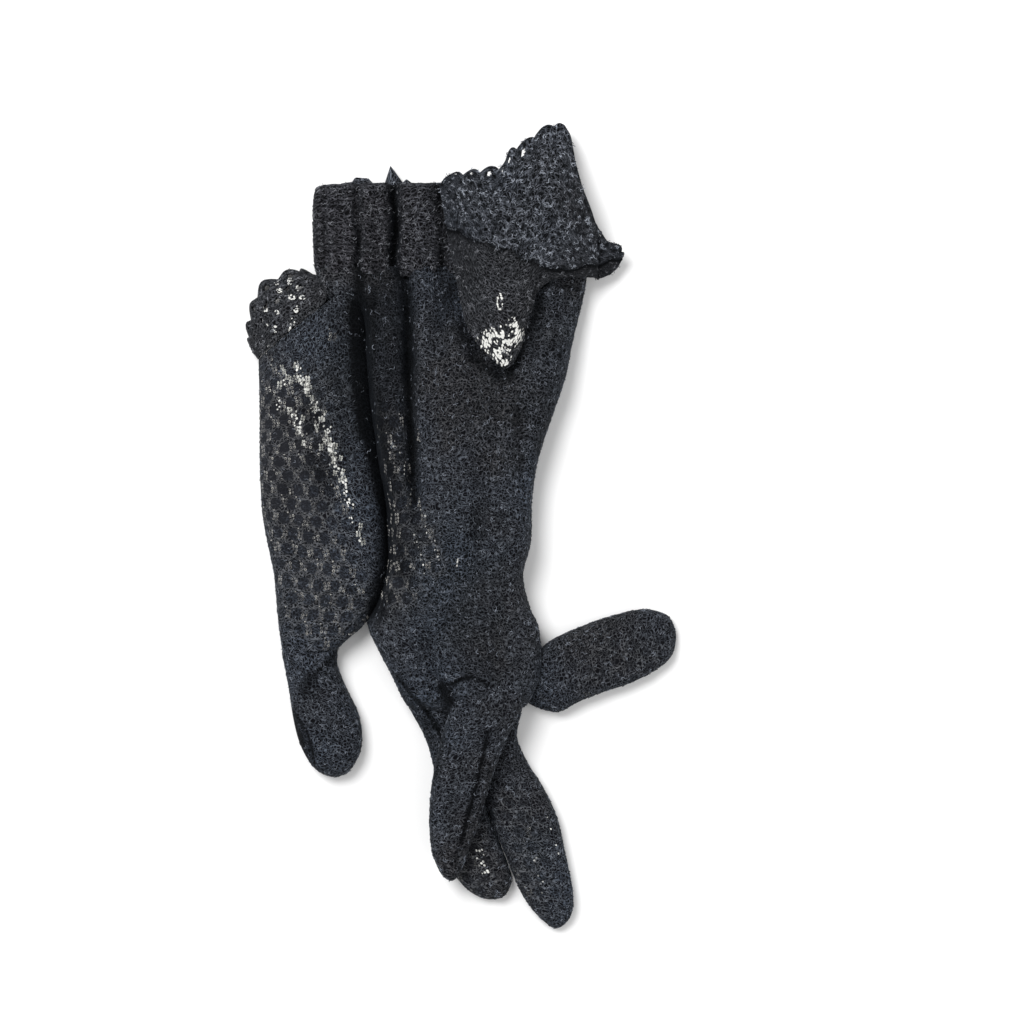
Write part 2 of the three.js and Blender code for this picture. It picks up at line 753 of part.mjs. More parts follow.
function piece(name, geometry, look) {
  const mesh = new THREE.Mesh(geometry, new THREE.MeshStandardMaterial(look));
  mesh.geometry.computeVertexNormals();
  mesh.name = name;
  glove.add(mesh);
}

piece("hand", handGeometry(), lace);
piece("wrist_band", bandGeometry(), coarseLace);
piece("lace_corner", flapGeometry(), coarseLace);
piece("side_hem", sideHemGeometry(), coarseLace);
piece("back_hem", backHemGeometry(), coarseLace);
piece("thumb", finger(thumbRows, thumbShape), lace);
piece("index_finger", finger(indexRows, indexShape), lace);
piece("middle_finger", finger(middleRows, middleShape), lace);
piece("ring_finger", finger(ringRows, ringShape), lace);
piece("little_finger", finger(littleRows, littleShape), lace);

// The origin is the middle of the footprint, on the surface that the glove lies on.
const extent = new THREE.Box3().setFromObject(glove, true);
const footprint = extent.getCenter(new THREE.Vector3()).setZ(extent.min.z);
const part = new THREE.Group();
glove.position.copy(footprint.negate());
part.add(glove);

export default part;
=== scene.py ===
import math
from functools import partial

import bmesh
import bpy
import numpy as np
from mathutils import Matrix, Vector, kdtree


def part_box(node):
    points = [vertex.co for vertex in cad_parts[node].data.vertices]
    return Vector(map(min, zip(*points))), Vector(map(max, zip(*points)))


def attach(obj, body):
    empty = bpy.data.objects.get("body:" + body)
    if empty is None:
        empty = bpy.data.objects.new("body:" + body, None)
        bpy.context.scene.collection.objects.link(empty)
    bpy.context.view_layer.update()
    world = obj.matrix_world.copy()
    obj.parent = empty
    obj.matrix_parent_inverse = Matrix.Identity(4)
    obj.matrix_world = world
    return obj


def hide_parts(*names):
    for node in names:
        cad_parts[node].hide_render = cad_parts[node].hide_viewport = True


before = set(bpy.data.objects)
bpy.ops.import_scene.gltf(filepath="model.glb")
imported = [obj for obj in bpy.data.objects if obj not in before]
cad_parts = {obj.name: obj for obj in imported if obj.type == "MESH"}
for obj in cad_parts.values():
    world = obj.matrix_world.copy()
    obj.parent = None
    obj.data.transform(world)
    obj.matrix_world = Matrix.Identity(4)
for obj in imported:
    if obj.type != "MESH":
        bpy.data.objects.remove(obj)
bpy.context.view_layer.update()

# Hand front: the main tube of the glove, fine stretch lace knitted in one piece and sewn down one
# side. It lies puffed on its back wall, creased lengthwise below the gathered wrist.
HAND_WIDTH = 0.105
HAND_LENGTH = 0.130
HAND_HEIGHT = 0.022
HAND_ROWS = [  # left, along on the left, right, along on the right, height
    (0.196, -0.008, 0.99, -0.008, 0.6),
    (0.194, 0.015, 0.99, 0.015, 0.645),
    (0.2, 0.067, 0.979, 0.067, 0.72),
    (0.24, 0.162, 0.95, 0.162, 0.82),
    (0.294, 0.257, 0.926, 0.257, 0.91),
    (0.312, 0.352, 0.885, 0.352, 0.97),
    (0.329, 0.448, 0.847, 0.448, 1.0),
    (0.341, 0.543, 0.829, 0.543, 1.0),
    (0.347, 0.638, 0.826, 0.638, 0.97),
    (0.347, 0.721, 0.803, 0.721, 0.95),
    (0.344, 0.793, 0.821, 0.793, 0.92),
    (0.347, 0.843, 0.847, 0.843, 0.9),
    (0.382, 0.905, 0.857, 0.905, 0.88),
    (0.418, 0.96, 0.853, 0.96, 0.86),
    (0.441, 1.0, 0.835, 1.0, 0.84),
    (0.462, 1.03, 0.812, 1.03, 0.62),
    (0.5, 1.048, 0.77, 1.048, 0.3),
]
HAND_FOLDS = [  # across at the start and the end, start, end, depth, breadth
    (0.452, 0.49, -0.1, 0.62, 0.34, 0.02),
    (0.37, 0.4, -0.05, 0.3, 0.1, 0.013),
    (0.545, 0.56, -0.1, 0.22, 0.16, 0.018),
    (0.615, 0.62, -0.1, 0.16, 0.12, 0.016),
    (0.69, 0.68, -0.1, 0.26, 0.14, 0.02),
    (0.745, 0.735, 0.12, 0.4, 0.12, 0.02),
    (0.86, 0.84, -0.1, 0.3, 0.12, 0.022),
    (0.655, 0.69, 0.24, 0.84, 0.13, 0.026),
    (0.79, 0.80, 0.2, 0.55, 0.14, 0.026),
    (0.44, 0.57, 0.62, 1.04, 0.12, 0.028),
    (0.76, 0.72, 0.55, 1.0, 0.1, 0.026),
]
WIDEST = 0.32  # share of its height at which a lying tube of cloth is widest
FLAT_START = 0.35  # share of the half turn over which it lies flat
SQUARENESS = 0.72  # the power that shapes its round: at one it is an ellipse, and below one squarer

hand_low, hand_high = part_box("hand")
PLAN_ZERO = np.array([hand_low.x - 0.024 * HAND_WIDTH, hand_high.y + 0.005 * HAND_LENGTH])


def smooth_rows(rows, count):
    """Smooth curves through the columns of a table, at a number of even places."""
    table = np.array(rows, float)
    points = np.vstack([2 * table[0] - table[1], table, 2 * table[-1] - table[-2]])
    return curve_through(points, count)


def curve_through(points, count):
    """A Catmull-Rom curve through points, the first and last of which only steer it."""
    place = np.linspace(0, len(points) - 3, count)
    row = np.minimum(place.astype(int), len(points) - 4)
    t = (place - row)[:, None]
    a, b, c, d = points[row], points[row + 1], points[row + 2], points[row + 3]
    return 0.5 * (2 * b + (c - a) * t + (2 * a - 5 * b + 4 * c - d) * t**2 + (3 * b - a - 3 * c + d) * t**3)


def lying_rings(left, right, base, height, columns, inset, lowered):
    """Rings of a tube of cloth that lies on its back: flat below, rounded above."""
    turn = np.linspace(-math.pi / 2, 1.5 * math.pi, columns + 1)
    c, s = np.cos(turn), np.sin(turn)
    middle = (left + right) / 2
    across = right - left
    width = np.maximum(np.linalg.norm(across, axis=1, keepdims=True), 1e-6)
    half = np.maximum(width / 2 - inset, 1e-5)
    out = half * np.sign(c) * np.abs(c) ** SQUARENESS
    flat = middle[:, None, :] + (across / width)[:, None, :] * out[..., None]
    inner = np.maximum(height - 2 * inset, 1e-5)[:, None]
    widest = WIDEST * inner
    rise = np.clip(s, 0, 1) ** SQUARENESS
    depth = lowered(flat, rise[None, :])
    top = np.maximum(widest + (inner - widest) * rise - depth, 0.4 * widest)
    under = widest * np.clip(1 + s / FLAT_START, 0, 1) ** 2
    z = base[:, None] + inset + np.where(s >= 0, top, under)
    return np.dstack([flat, z, depth])


def hand_plan(across, along):
    """Shares of the hand's width and length, to a place in the row frame."""
    return np.stack([PLAN_ZERO[0] + across * HAND_WIDTH, PLAN_ZERO[1] - along * HAND_LENGTH], -1)


def ripple(flat, waves):
    """Fine waves of slack cloth: length of a wave, its way in degrees, its size, where it starts."""
    total = 0.0
    for length, way, size, start in waves:
        turn = math.radians(way)
        along = flat[..., 0] * math.cos(turn) + flat[..., 1] * math.sin(turn)
        aside = flat[..., 1] * math.cos(turn) - flat[..., 0] * math.sin(turn)
        total = total + size * np.sin(
            along / length * math.tau + start + 1.3 * np.sin(aside / length * 2.1 + start)
        )
    return total


def creased(table, waves):
    """How far a table of valleys and a set of waves lower the top of the hand."""

    def lowered(flat, rise):
        across = (flat[..., 0] - PLAN_ZERO[0]) / HAND_WIDTH
        along = (PLAN_ZERO[1] - flat[..., 1]) / HAND_LENGTH
        total = ripple(flat, waves)
        for at, to, start, end, depth, breadth in table:
            share = np.clip((along - start) / (end - start), 0, 1)
            near = np.exp(-(((across - at - (to - at) * share) / breadth) ** 2))
            total = total + HAND_HEIGHT * depth * near * np.sin(math.pi * share) ** 0.5
        return total * rise

    return lowered


def cloth_map(rings):
    """Where each point of a tube or a sheet lies on its cloth, in metres: along its rows from the middle
    of each, which is the top of a tube, and down the middle of all rows."""
    rings = rings[..., :3]
    middle = rings.shape[1] // 2
    along = np.linalg.norm(np.diff(rings, axis=1), axis=2).cumsum(axis=1)
    along = np.hstack([np.zeros((len(rings), 1)), along])
    along = along - along[:, middle : middle + 1]
    down = np.linalg.norm(np.diff(rings[:, middle], axis=0), axis=1).cumsum()
    down = np.concatenate([[0], down])
    return np.dstack([along, np.repeat(down[:, None], rings.shape[1], 1)])


def new_object(name, data):
    """An object of the scene, for a mesh, a lamp or a camera."""
    made = bpy.data.objects.new(name, data)
    bpy.context.scene.collection.objects.link(made)
    return made


def make_plain(piece):
    """Bakes a piece's modifiers into a mesh of its own."""
    graph = bpy.context.evaluated_depsgraph_get()
    made = bpy.data.meshes.new_from_object(piece.evaluated_get(graph))
    piece.modifiers.clear()
    piece.data = made
    made.name = piece.name


def new_piece(name, points, faces, places, facts):
    """A mesh object with its cloth map, and facts that its material and threads read at each point."""
    mesh = bpy.data.meshes.new(name)
    mesh.from_pydata(points.tolist(), [], faces.tolist())
    uv_map = mesh.uv_layers.new(name="cloth")
    uv_map.data.foreach_set("uv", places.astype(np.float32).ravel())
    for fact, values in facts.items():
        attribute = mesh.attributes.new(fact, "FLOAT", "POINT")
        attribute.data.foreach_set("value", values.astype(np.float32).ravel())
    mesh.shade_smooth()
    return new_object(name, mesh)


INSIDE = 5.0  # how far aside of the outer skin's cloth map the inner skin's lies, in metres
FULL_SHADE_DEPTH = 0.0045  # how deep a valley is where its painted shade is quite dark


def cloth_tube(name, both_skins, closed_tip=False, **facts):
    """A tube of cloth from rings of its outer and inner skin, from its mouth to its other end. The facts
    are functions of a place: how thin and how bare the cloth is there, bare cloth getting pale dots of
    painted light, and how much painted shade it gets, deep in a fold or in a shadow."""
    outer, inner = both_skins
    rows, columns = outer.shape[0], outer.shape[1] - 1
    skins = [outer[:, :-1], inner[:, :-1]]
    starts = [0, rows * columns]
    maps = [cloth_map(outer), cloth_map(inner) + np.array([INSIDE, 0.0])]
    faces, places = [], []
    i = np.arange(columns)
    after = (i + 1) % columns
    for which, (start, count, held) in enumerate(zip(starts, [rows, inner.shape[0]], maps)):
        for row in range(count - 1):
            a, b = start + row * columns, start + (row + 1) * columns
            quads = np.stack([a + i, b + i, b + after, a + after], 1)
            spots = np.stack([held[row, i], held[row + 1, i], held[row + 1, i + 1], held[row, i + 1]], 1)
            faces.append(quads if which == 0 else quads[:, ::-1])
            places.append(spots if which == 0 else spots[:, ::-1])
    rims = [(0, starts[1], 0)]
    if not closed_tip:
        rims.append(((rows - 1) * columns, starts[1] + (inner.shape[0] - 1) * columns, rows - 1))
    for one, two, row in rims:
        quads = np.stack([one + i, one + after, two + after, two + i], 1)
        edge_map, past = maps[0][row] + INSIDE, np.array([0.0, 0.001])
        spots = np.stack([edge_map[i], edge_map[i + 1], edge_map[i + 1] + past, edge_map[i] + past], 1)
        faces.append(quads if row == 0 else quads[:, ::-1])
        places.append(spots if row == 0 else spots[:, ::-1])
    points = np.vstack([skin[..., :3].reshape(-1, 3) for skin in skins])
    facts = {"thin": nothing, "bare": nothing, "fold": PAINTED_SHADE_LINES, **facts}
    known = {fact: values(points) for fact, values in facts.items()}
    raised = np.sin(np.linspace(-math.pi / 2, 1.5 * math.pi, columns + 1)[:-1])  # from -1 below to 1 on top
    within = np.zeros(inner.shape[0] * columns)
    on_top = np.tile(np.clip((raised - 0.1) / 0.35, 0, 1), rows)
    known["thin"] = known["thin"] * np.concatenate([on_top, within])
    deep = np.concatenate([skin[..., 3].ravel() for skin in skins])
    # Painted shade: the deeper a valley of the cloth, the darker it is painted.
    known["fold"] = np.clip(np.maximum(known["fold"], deep / FULL_SHADE_DEPTH - 0.25), 0, 1)
    lay = np.concatenate([np.tile(np.where(raised > -0.25, 1.0, 0.3), rows), within])
    lay = lay * (1 - 0.8 * np.clip(known["bare"] * 1.4, 0, 1)) * (1 - 0.9 * known["fold"])
    known["lay"] = lay * (1 - 0.75 * known["thin"])
    return new_piece(name, points, np.vstack(faces), np.vstack(places), known)


def wear(piece, node, slot, *materials):
    """Gives a piece of cloth its materials, attaches it to the root body, and hides the solid it stands
    for.
    """
    for material in materials:
        piece.data.materials.append(material)
    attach(piece, "root")
    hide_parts(node)


def threads_over(name, cloth, tree, material, slot, **settings):
    """The threads that a tree of nodes lays over a piece of cloth, as a plain mesh of their own."""
    piece = new_object(name, cloth.data)
    layer = piece.modifiers.new("threads", "NODES")
    layer.node_group = tree
    for item in tree.interface.items_tree:
        if item.name in settings:
            layer[item.identifier] = settings[item.name]
        elif item.name == "Finish":
            layer[item.identifier] = material
    make_plain(piece)
    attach(piece, "root")
    return piece


MATH = "ShaderNodeMath"  # the kinds of node, and their settings, that come often
VECTOR_MATH = "ShaderNodeVectorMath"
MAP_RANGE = "ShaderNodeMapRange"
MIX = "ShaderNodeMix"
NOISE = "ShaderNodeTexNoise"
RANDOM = "FunctionNodeRandomValue"
ALIGN = "FunctionNodeAlignRotationToVector"
CIRCLE = "GeometryNodeCurvePrimitiveCircle"
TIMES = {"operation": "MULTIPLY"}
TIMES_PLUS = {"operation": "MULTIPLY_ADD"}
LESS = {"operation": "SUBTRACT"}
SMOOTH = {"interpolation_type": "SMOOTHSTEP"}
COLOURS = {"data_type": "RGBA"}
VECTORS = {"data_type": "FLOAT_VECTOR"}
NUMBERS = {"data_type": "FLOAT"}


def put(tree, kind, settings={}, inputs=()):
    """Adds a node with its settings and inputs: a list in their order or a dict, of values, sockets, or
    nodes, each of which gives its first output."""
    node = tree.nodes.new(kind)
    for setting, value in settings.items():
        setattr(node, setting, value)
    for socket, value in inputs.items() if isinstance(inputs, dict) else enumerate(inputs):
        if isinstance(value, bpy.types.Node):
            value = value.outputs[0]
        if isinstance(value, bpy.types.NodeSocket):
            tree.links.new(value, node.inputs[socket])
        else:
            node.inputs[socket].default_value = value
    return node


def new_tree(name, lengths, counts):
    """A tree of geometry nodes with its cloth, finish, and named lengths and counts as inputs."""
    tree = bpy.data.node_groups.new(name, "GeometryNodeTree")
    kinds = {"Geometry": ["Cloth"], "Material": ["Finish"], "Float": lengths, "Int": counts}
    for kind, titles in kinds.items():
        for title in titles:
            tree.interface.new_socket(title, in_out="INPUT", socket_type="NodeSocket" + kind)
    tree.interface.new_socket("Threads", in_out="OUTPUT", socket_type="NodeSocketGeometry")
    return tree, tree.nodes.new("NodeGroupInput").outputs


def close_tree(tree, given, spots, motifs, pick, upright, sway, sizes):
    """Lays motifs on spots of the cloth, along its knitting but for their sway, and makes them real
    geometry in the finish that the tree is given. Sizes are the least, the most and a seed."""
    add = partial(put, tree)
    along = add(ALIGN, {"axis": "X", "pivot_axis": "Z"}, {"Rotation": upright, "Vector": (1.0, 0.0, 0.0)})
    turned = add("FunctionNodeRotateRotation", {"rotation_space": "LOCAL"}, [along, sway])
    size = add(RANDOM, VECTORS, {0: sizes[0], 1: sizes[1], "Seed": sizes[2]})
    placed = add(
        "GeometryNodeInstanceOnPoints",
        {},
        {"Points": spots, "Instance": motifs, "Pick Instance": pick, "Rotation": turned, "Scale": size},
    )
    real = add("GeometryNodeRealizeInstances", {}, [placed])
    painted = add("GeometryNodeSetMaterial", {}, {0: real, "Material": given["Finish"]})
    smooth = add("GeometryNodeSetShadeSmooth", {}, [painted])
    add("NodeGroupOutput", {}, [smooth])
    return tree


ROW_STEP = 0.95  # how far one row of the lace's pattern lies from the next, as a share of its pitch


def curl_tree(fact):
    """Bits of textured thread, half arcs and half waves, scattered over the cloth. Density is how many to
    a square metre where the named fact of the cloth is one, and Spread how far they turn from the way of
    the knitting, in radians."""
    tree, given = new_tree(fact + " curls", ["Density", "Curl", "Thread", "Spread"], ["Seed"])
    add = partial(put, tree)
    # Where the bits lie.
    lay = add("GeometryNodeInputNamedAttribute", NUMBERS, {"Name": fact})
    dense = add(MATH, TIMES, [lay, given["Density"]])
    spots = add(
        "GeometryNodeDistributePointsOnFaces", {"distribute_method": "RANDOM"},
        {"Mesh": given["Cloth"], "Density": dense, "Seed": given["Seed"]},
    )
    # Their two shapes, an arc and a wave, which comes twice as often.
    arc = add(
        "GeometryNodeCurveArc", {"mode": "RADIUS"},
        {"Resolution": 6, "Radius": given["Curl"], "Start Angle": 0.4, "Sweep Angle": 3.9},
    )
    line = add(
        "GeometryNodeCurvePrimitiveLine", {"mode": "POINTS"}, {"Start": (-0.5, 0, 0), "End": (0.5, 0, 0)}
    )
    line = add("GeometryNodeResampleCurve", {}, {0: line, "Count": 8})
    place = add("GeometryNodeInputPosition")
    part = add("ShaderNodeSeparateXYZ", {}, [place])
    turn = add(MATH, TIMES, [part, 8.0])
    swing = add(MATH, {"operation": "SINE"}, [turn])
    swing = add(MATH, TIMES, [swing, 0.16])
    bent = add("ShaderNodeCombineXYZ", {}, [part, swing])
    length = add(MATH, TIMES, [given["Curl"], 3.4])
    bent = add(VECTOR_MATH, {"operation": "SCALE"}, {0: bent, "Scale": length})
    wave = add("GeometryNodeSetPosition", {}, {0: line, "Position": bent})
    section = add(CIRCLE, {}, {"Resolution": 3, "Radius": given["Thread"]})
    motifs = tree.nodes.new("GeometryNodeGeometryToInstance")
    for path in (arc, wave, wave):
        tube = add("GeometryNodeCurveToMesh", {}, [path, section])
        tree.links.new(tube.outputs[0], motifs.inputs[0])
    # How far they turn, and how large they are.
    least = add(MATH, TIMES, [given["Spread"], -1.0])
    least = add("ShaderNodeCombineXYZ", {}, [-0.2, -0.2, least])
    most = add("ShaderNodeCombineXYZ", {}, [0.2, 0.2, given["Spread"]])
    spin = add(RANDOM, VECTORS, {0: least, 1: most, "Seed": given["Seed"]})
    sizes = ((0.6, 0.5, 0.7), (1.35, 1.3, 1.5), 7)
    return close_tree(tree, given, spots, motifs, True, spots.outputs["Rotation"], spin, sizes)


def knot_tree(fact):
    """Knots of six small loops beside the patches of the lace, on a lattice over the cloth map, as many as
    the named fact of the cloth says, and a bead of thread half way to the knot below."""
    tree, given = new_tree(
        fact + " knots", ["Pitch", "Ring", "Thread", "Left", "Bottom"], ["Across", "Down", "Seed"]
    )
    add = partial(put, tree)
    # Spots in the cloth map, every second row of them shifted by half a pitch.
    index = add("GeometryNodeInputIndex")
    points = add(MATH, TIMES, [given["Across"], given["Down"]])
    row = add(MATH, {"operation": "DIVIDE"}, [index, given["Across"]])
    row = add(MATH, {"operation": "FLOOR"}, [row])
    column = add(MATH, {"operation": "FLOORED_MODULO"}, [index, given["Across"]])
    odd = add(MATH, {"operation": "FLOORED_MODULO"}, [row, 2.0])
    shift = add(MATH, TIMES_PLUS, [odd, 0.5, column])
    u = add(MATH, TIMES_PLUS, [shift, given["Pitch"], given["Left"]])
    step = add(MATH, TIMES, [given["Pitch"], ROW_STEP])
    v = add(MATH, TIMES_PLUS, [row, step, given["Bottom"]])
    loose = add(RANDOM, VECTORS, {0: (-0.0004, -0.0004, 0), 1: (0.0004, 0.0004, 0), "Seed": given["Seed"]})
    spot = add("ShaderNodeCombineXYZ", {}, [u, v])
    spot = add(VECTOR_MATH, {"operation": "ADD"}, [spot, loose])
    cloud = add("GeometryNodePoints", {}, {"Count": points, "Position": spot})
    # The place of each spot on the cloth, the way that faces out there, and how thin the cloth is.
    place = add("GeometryNodeInputPosition")
    normal = add("GeometryNodeInputNormal")
    thin = add("GeometryNodeInputNamedAttribute", NUMBERS, {"Name": fact})
    cloth_uv = add("GeometryNodeInputNamedAttribute", VECTORS, {"Name": "cloth"})
    found = {}
    for what, kind, value in (
        ("place", "FLOAT_VECTOR", place), ("normal", "FLOAT_VECTOR", normal), ("thin", "FLOAT", thin)
    ):
        found[what] = add(
            "GeometryNodeSampleUVSurface", {"data_type": kind},
            {"Mesh": given["Cloth"], "Value": value, "UV Map": cloth_uv, "Sample UV": place},
        )
    kept = add("GeometryNodeCaptureAttribute", {}, [cloud])
    kept.capture_items.new("VECTOR", "normal")
    kept.capture_items.new("VECTOR", "place")
    tree.links.new(found["normal"].outputs[0], kept.inputs[1])
    tree.links.new(found["place"].outputs[0], kept.inputs[2])
    # The spots that stay, by chance, and the more the thinner the cloth is.
    chance = add(RANDOM, NUMBERS, {2: 0.0, 3: 0.65, "Seed": 11})
    wanted = add(
        "FunctionNodeCompare", {"data_type": "FLOAT", "operation": "LESS_THAN"},
        [chance.outputs[1], found["thin"]],
    )
    both = add("FunctionNodeBooleanMath", {"operation": "NAND"}, [wanted, found["place"].outputs[1]])
    thinned = add("GeometryNodeDeleteGeometry", {"domain": "POINT"}, [kept, both])
    moved = add("GeometryNodeSetPosition", {}, {0: thinned, "Position": kept.outputs[2]})
    upright = add(ALIGN, {"axis": "Z"}, {"Vector": kept.outputs[1]})
    # The knot: six loops and a bead.
    circle = add(CIRCLE, {}, {"Resolution": 6, "Radius": given["Ring"]})
    section = add(CIRCLE, {}, {"Resolution": 3, "Radius": given["Thread"]})
    ring = add("GeometryNodeCurveToMesh", {}, [circle, section])
    bead = add(MATH, TIMES, [given["Thread"], 2.4])
    bead = add("GeometryNodeMeshIcoSphere", {}, {"Radius": bead, "Subdivisions": 1})
    knot = tree.nodes.new("GeometryNodeJoinGeometry")
    for x, y in ((-1.9, 3.3), (1.6, 3.0), (-1.6, 0.1), (1.9, -0.2), (-2.0, -3.1), (1.5, -3.4)):
        at = add(VECTOR_MATH, {"operation": "SCALE"}, {0: (x, y, 0.0), "Scale": given["Ring"]})
        loop = add("GeometryNodeTransform", {}, {0: ring, "Translation": at})
        tree.links.new(loop.outputs[0], knot.inputs[0])
    at = add(VECTOR_MATH, {"operation": "SCALE"}, {0: (-0.25, -ROW_STEP / 2, 0.0), "Scale": given["Pitch"]})
    dot = add("GeometryNodeTransform", {}, {0: bead, "Translation": at})
    tree.links.new(dot.outputs[0], knot.inputs[0])
    sway = add(RANDOM, VECTORS, {0: (-0.1, -0.1, -0.3), 1: (0.1, 0.1, 0.3), "Seed": 9})
    sizes = ((0.7, 0.7, 0.8), (1.15, 1.15, 1.0), 5)
    return close_tree(tree, given, moved, knot, False, upright, sway, sizes)


def linear(hexed):
    """An sRGB hex colour as the linear colour that a shader takes."""
    parts = [int(hexed[i : i + 2], 16) / 255 for i in (1, 3, 5)]
    return (*(p / 12.92 if p <= 0.04045 else ((p + 0.055) / 1.055) ** 2.4 for p in parts), 1.0)


PATCH_EDGE = (0.33, 0.4)  # where a dense patch ends and the net starts, as shares of the pitch
NET_GROUND = "#1e1f23"  # the cloth below the net
PAINTED_LIGHT_BELOW = "#dededa"  # painted light: the pale lit surface under bare cloth, as if seen through it
SHADE_COLOUR = "#030405"  # the colour of painted shade, where cloth lies double in a valley or tuck, or in a shadow
SHEEN = "#9aa6b8"


def knit_lace(name, gap, thread, net, pitch, fuzz, tint, unrest):
    """Nylon and elastane lace: dull dark patches in a diamond lattice, a looser net of loops between
    them, and the soft sheen of textured thread. fuzz is the size of a mesh between two threads. Where
    its fold fact is high, it is painted nearly black: painted shade for valleys, tucks and shadows."""
    material = bpy.data.materials.new(name)
    material.use_nodes = True
    tree = material.node_tree
    shader = tree.nodes["Principled BSDF"]
    add = partial(put, tree)
    # The dense patches: discs on a lattice whose every second row is shifted by half a pitch.
    cloth = add("ShaderNodeUVMap", {"uv_map": "cloth"})
    place = add("ShaderNodeTexCoord")
    loose = add(NOISE, {}, {"Vector": cloth, "Scale": 120.0, "Detail": 1.0})
    loose = add(VECTOR_MATH, LESS, [loose.outputs["Color"], (0.5, 0.5, 0.5)])
    shifted = add(VECTOR_MATH, TIMES_PLUS, [loose, (0.0018, 0.0018, 0), cloth])
    near = []
    for offset in (0.0, 0.5):
        cell = add(
            VECTOR_MATH, TIMES_PLUS,
            [shifted, (1 / pitch, 1 / (2 * ROW_STEP * pitch), 0), (offset, offset, 0)],
        )
        cell = add(VECTOR_MATH, {"operation": "FRACTION"}, [cell])
        cell = add(VECTOR_MATH, LESS, [cell, (0.5, 0.5, 0)])
        cell = add(VECTOR_MATH, TIMES, [cell, (1.0, 2 * ROW_STEP, 0)])
        near.append(add(VECTOR_MATH, {"operation": "LENGTH"}, [cell]))
    patch = add(MATH, {"operation": "MINIMUM"}, [near[0].outputs["Value"], near[1].outputs["Value"]])
    netting = add(MAP_RANGE, SMOOTH, [patch, *PATCH_EDGE])
    # The threads: links round small meshes, and wavy lines of yarn that come and go.
    curl = add(NOISE, {}, {"Vector": cloth, "Scale": 0.45 / fuzz, "Detail": 1.0})
    curl = add(VECTOR_MATH, LESS, [curl.outputs["Color"], (0.5, 0.5, 0.5)])
    curled = add(VECTOR_MATH, TIMES_PLUS, [curl, (2.4 * fuzz, 2.4 * fuzz, 0), cloth])
    mesh = add(
        "ShaderNodeTexVoronoi", {"feature": "DISTANCE_TO_EDGE", "voronoi_dimensions": "2D"},
        {"Vector": curled, "Scale": 1 / fuzz},
    )
    links = add(MAP_RANGE, SMOOTH, [mesh.outputs["Distance"], 0.16, 0.02, 0.0, 0.7])
    wavy = add(
        "ShaderNodeTexWave", {"wave_type": "BANDS", "bands_direction": "Y"},
        {
            "Vector": curled, "Scale": 0.314 / (1.2 * fuzz), "Distortion": unrest, "Detail": 1.0,
            "Detail Scale": 3.2,
        },
    )
    lines = add(MAP_RANGE, SMOOTH, [wavy.outputs["Fac"], 0.62, 0.95])
    gone = add(NOISE, {}, {"Vector": cloth, "Scale": 0.8 / fuzz, "Detail": 1.0})
    kept = add(MAP_RANGE, SMOOTH, [gone, 0.38, 0.58, 0.15, 1.0])
    lines = add(MATH, TIMES, [lines, kept])
    # Where the cloth is thin, its net is bare of yarn between the patches.
    thin = add("ShaderNodeAttribute", {"attribute_name": "thin"})
    shown = add(MATH, TIMES, [netting, thin.outputs["Fac"]])
    quiet = add(MATH, TIMES_PLUS, [thin.outputs["Fac"], -0.62, 1.0])
    links = add(MATH, TIMES, [links, quiet])
    plain = add(MATH, TIMES_PLUS, [shown, -0.8, 1.0])
    lines = add(MATH, TIMES, [lines, plain])
    threads = add(MATH, {"operation": "MAXIMUM"}, [links, lines])
    # The colours, a little warmer or cooler from place to place, and paler in the thin net.
    wide = add(NOISE, {}, {"Vector": place.outputs["Object"], "Scale": 32.0, "Detail": 3.0})
    tints = add(MAP_RANGE, {}, [wide, 0.35, 0.65])
    warm = add(MIX, COLOURS, {0: tints, 6: linear(thread), 7: linear(tint)})
    threaded = add(MIX, COLOURS, {0: shown, 6: warm.outputs[2], 7: linear(net)})
    dense = add(MAP_RANGE, {}, [netting, 0.0, 1.0, 1.0, 0.0])
    less = add(MAP_RANGE, {}, [thin.outputs["Fac"], 0.0, 1.0, -0.14, -0.7])
    held = add(MATH, TIMES_PLUS, [dense, less, 1.0])
    strength = add(MATH, TIMES, [threads, held])
    disc = add(MATH, TIMES_PLUS, [shown, -0.6, thin.outputs["Fac"]])
    ground = add(MIX, COLOURS, {0: disc, 6: linear(gap), 7: linear(NET_GROUND)})
    colour = add(MIX, COLOURS, {0: strength, 6: ground.outputs[2], 7: threaded.outputs[2]})
    # Painted light: pale dots for the lit surface seen through bare cloth, more and wider the barer.
    bare = add("ShaderNodeAttribute", {"attribute_name": "bare"})
    open_mesh = add(
        "ShaderNodeTexVoronoi", {"voronoi_dimensions": "2D"}, {"Vector": shifted, "Scale": 1.15 / fuzz}
    )
    chance = add("ShaderNodeSeparateColor", {}, [open_mesh.outputs["Color"]])
    ragged = add(MATH, TIMES_PLUS, [chance, -0.7, bare.outputs["Fac"]])
    lit = add(MAP_RANGE, SMOOTH, [ragged, 0.08, 0.16])
    wide_open = add(MATH, TIMES_PLUS, [bare.outputs["Fac"], 0.35, 0.2])
    past = add(MATH, LESS, [open_mesh.outputs["Distance"], wide_open])
    dots = add(MAP_RANGE, SMOOTH, [past, 0.0, 0.1, 1.0, 0.0])
    seen = add(MATH, TIMES, [lit, dots])
    colour = add(MIX, COLOURS, {0: seen, 6: colour.outputs[2], 7: linear(PAINTED_LIGHT_BELOW)})
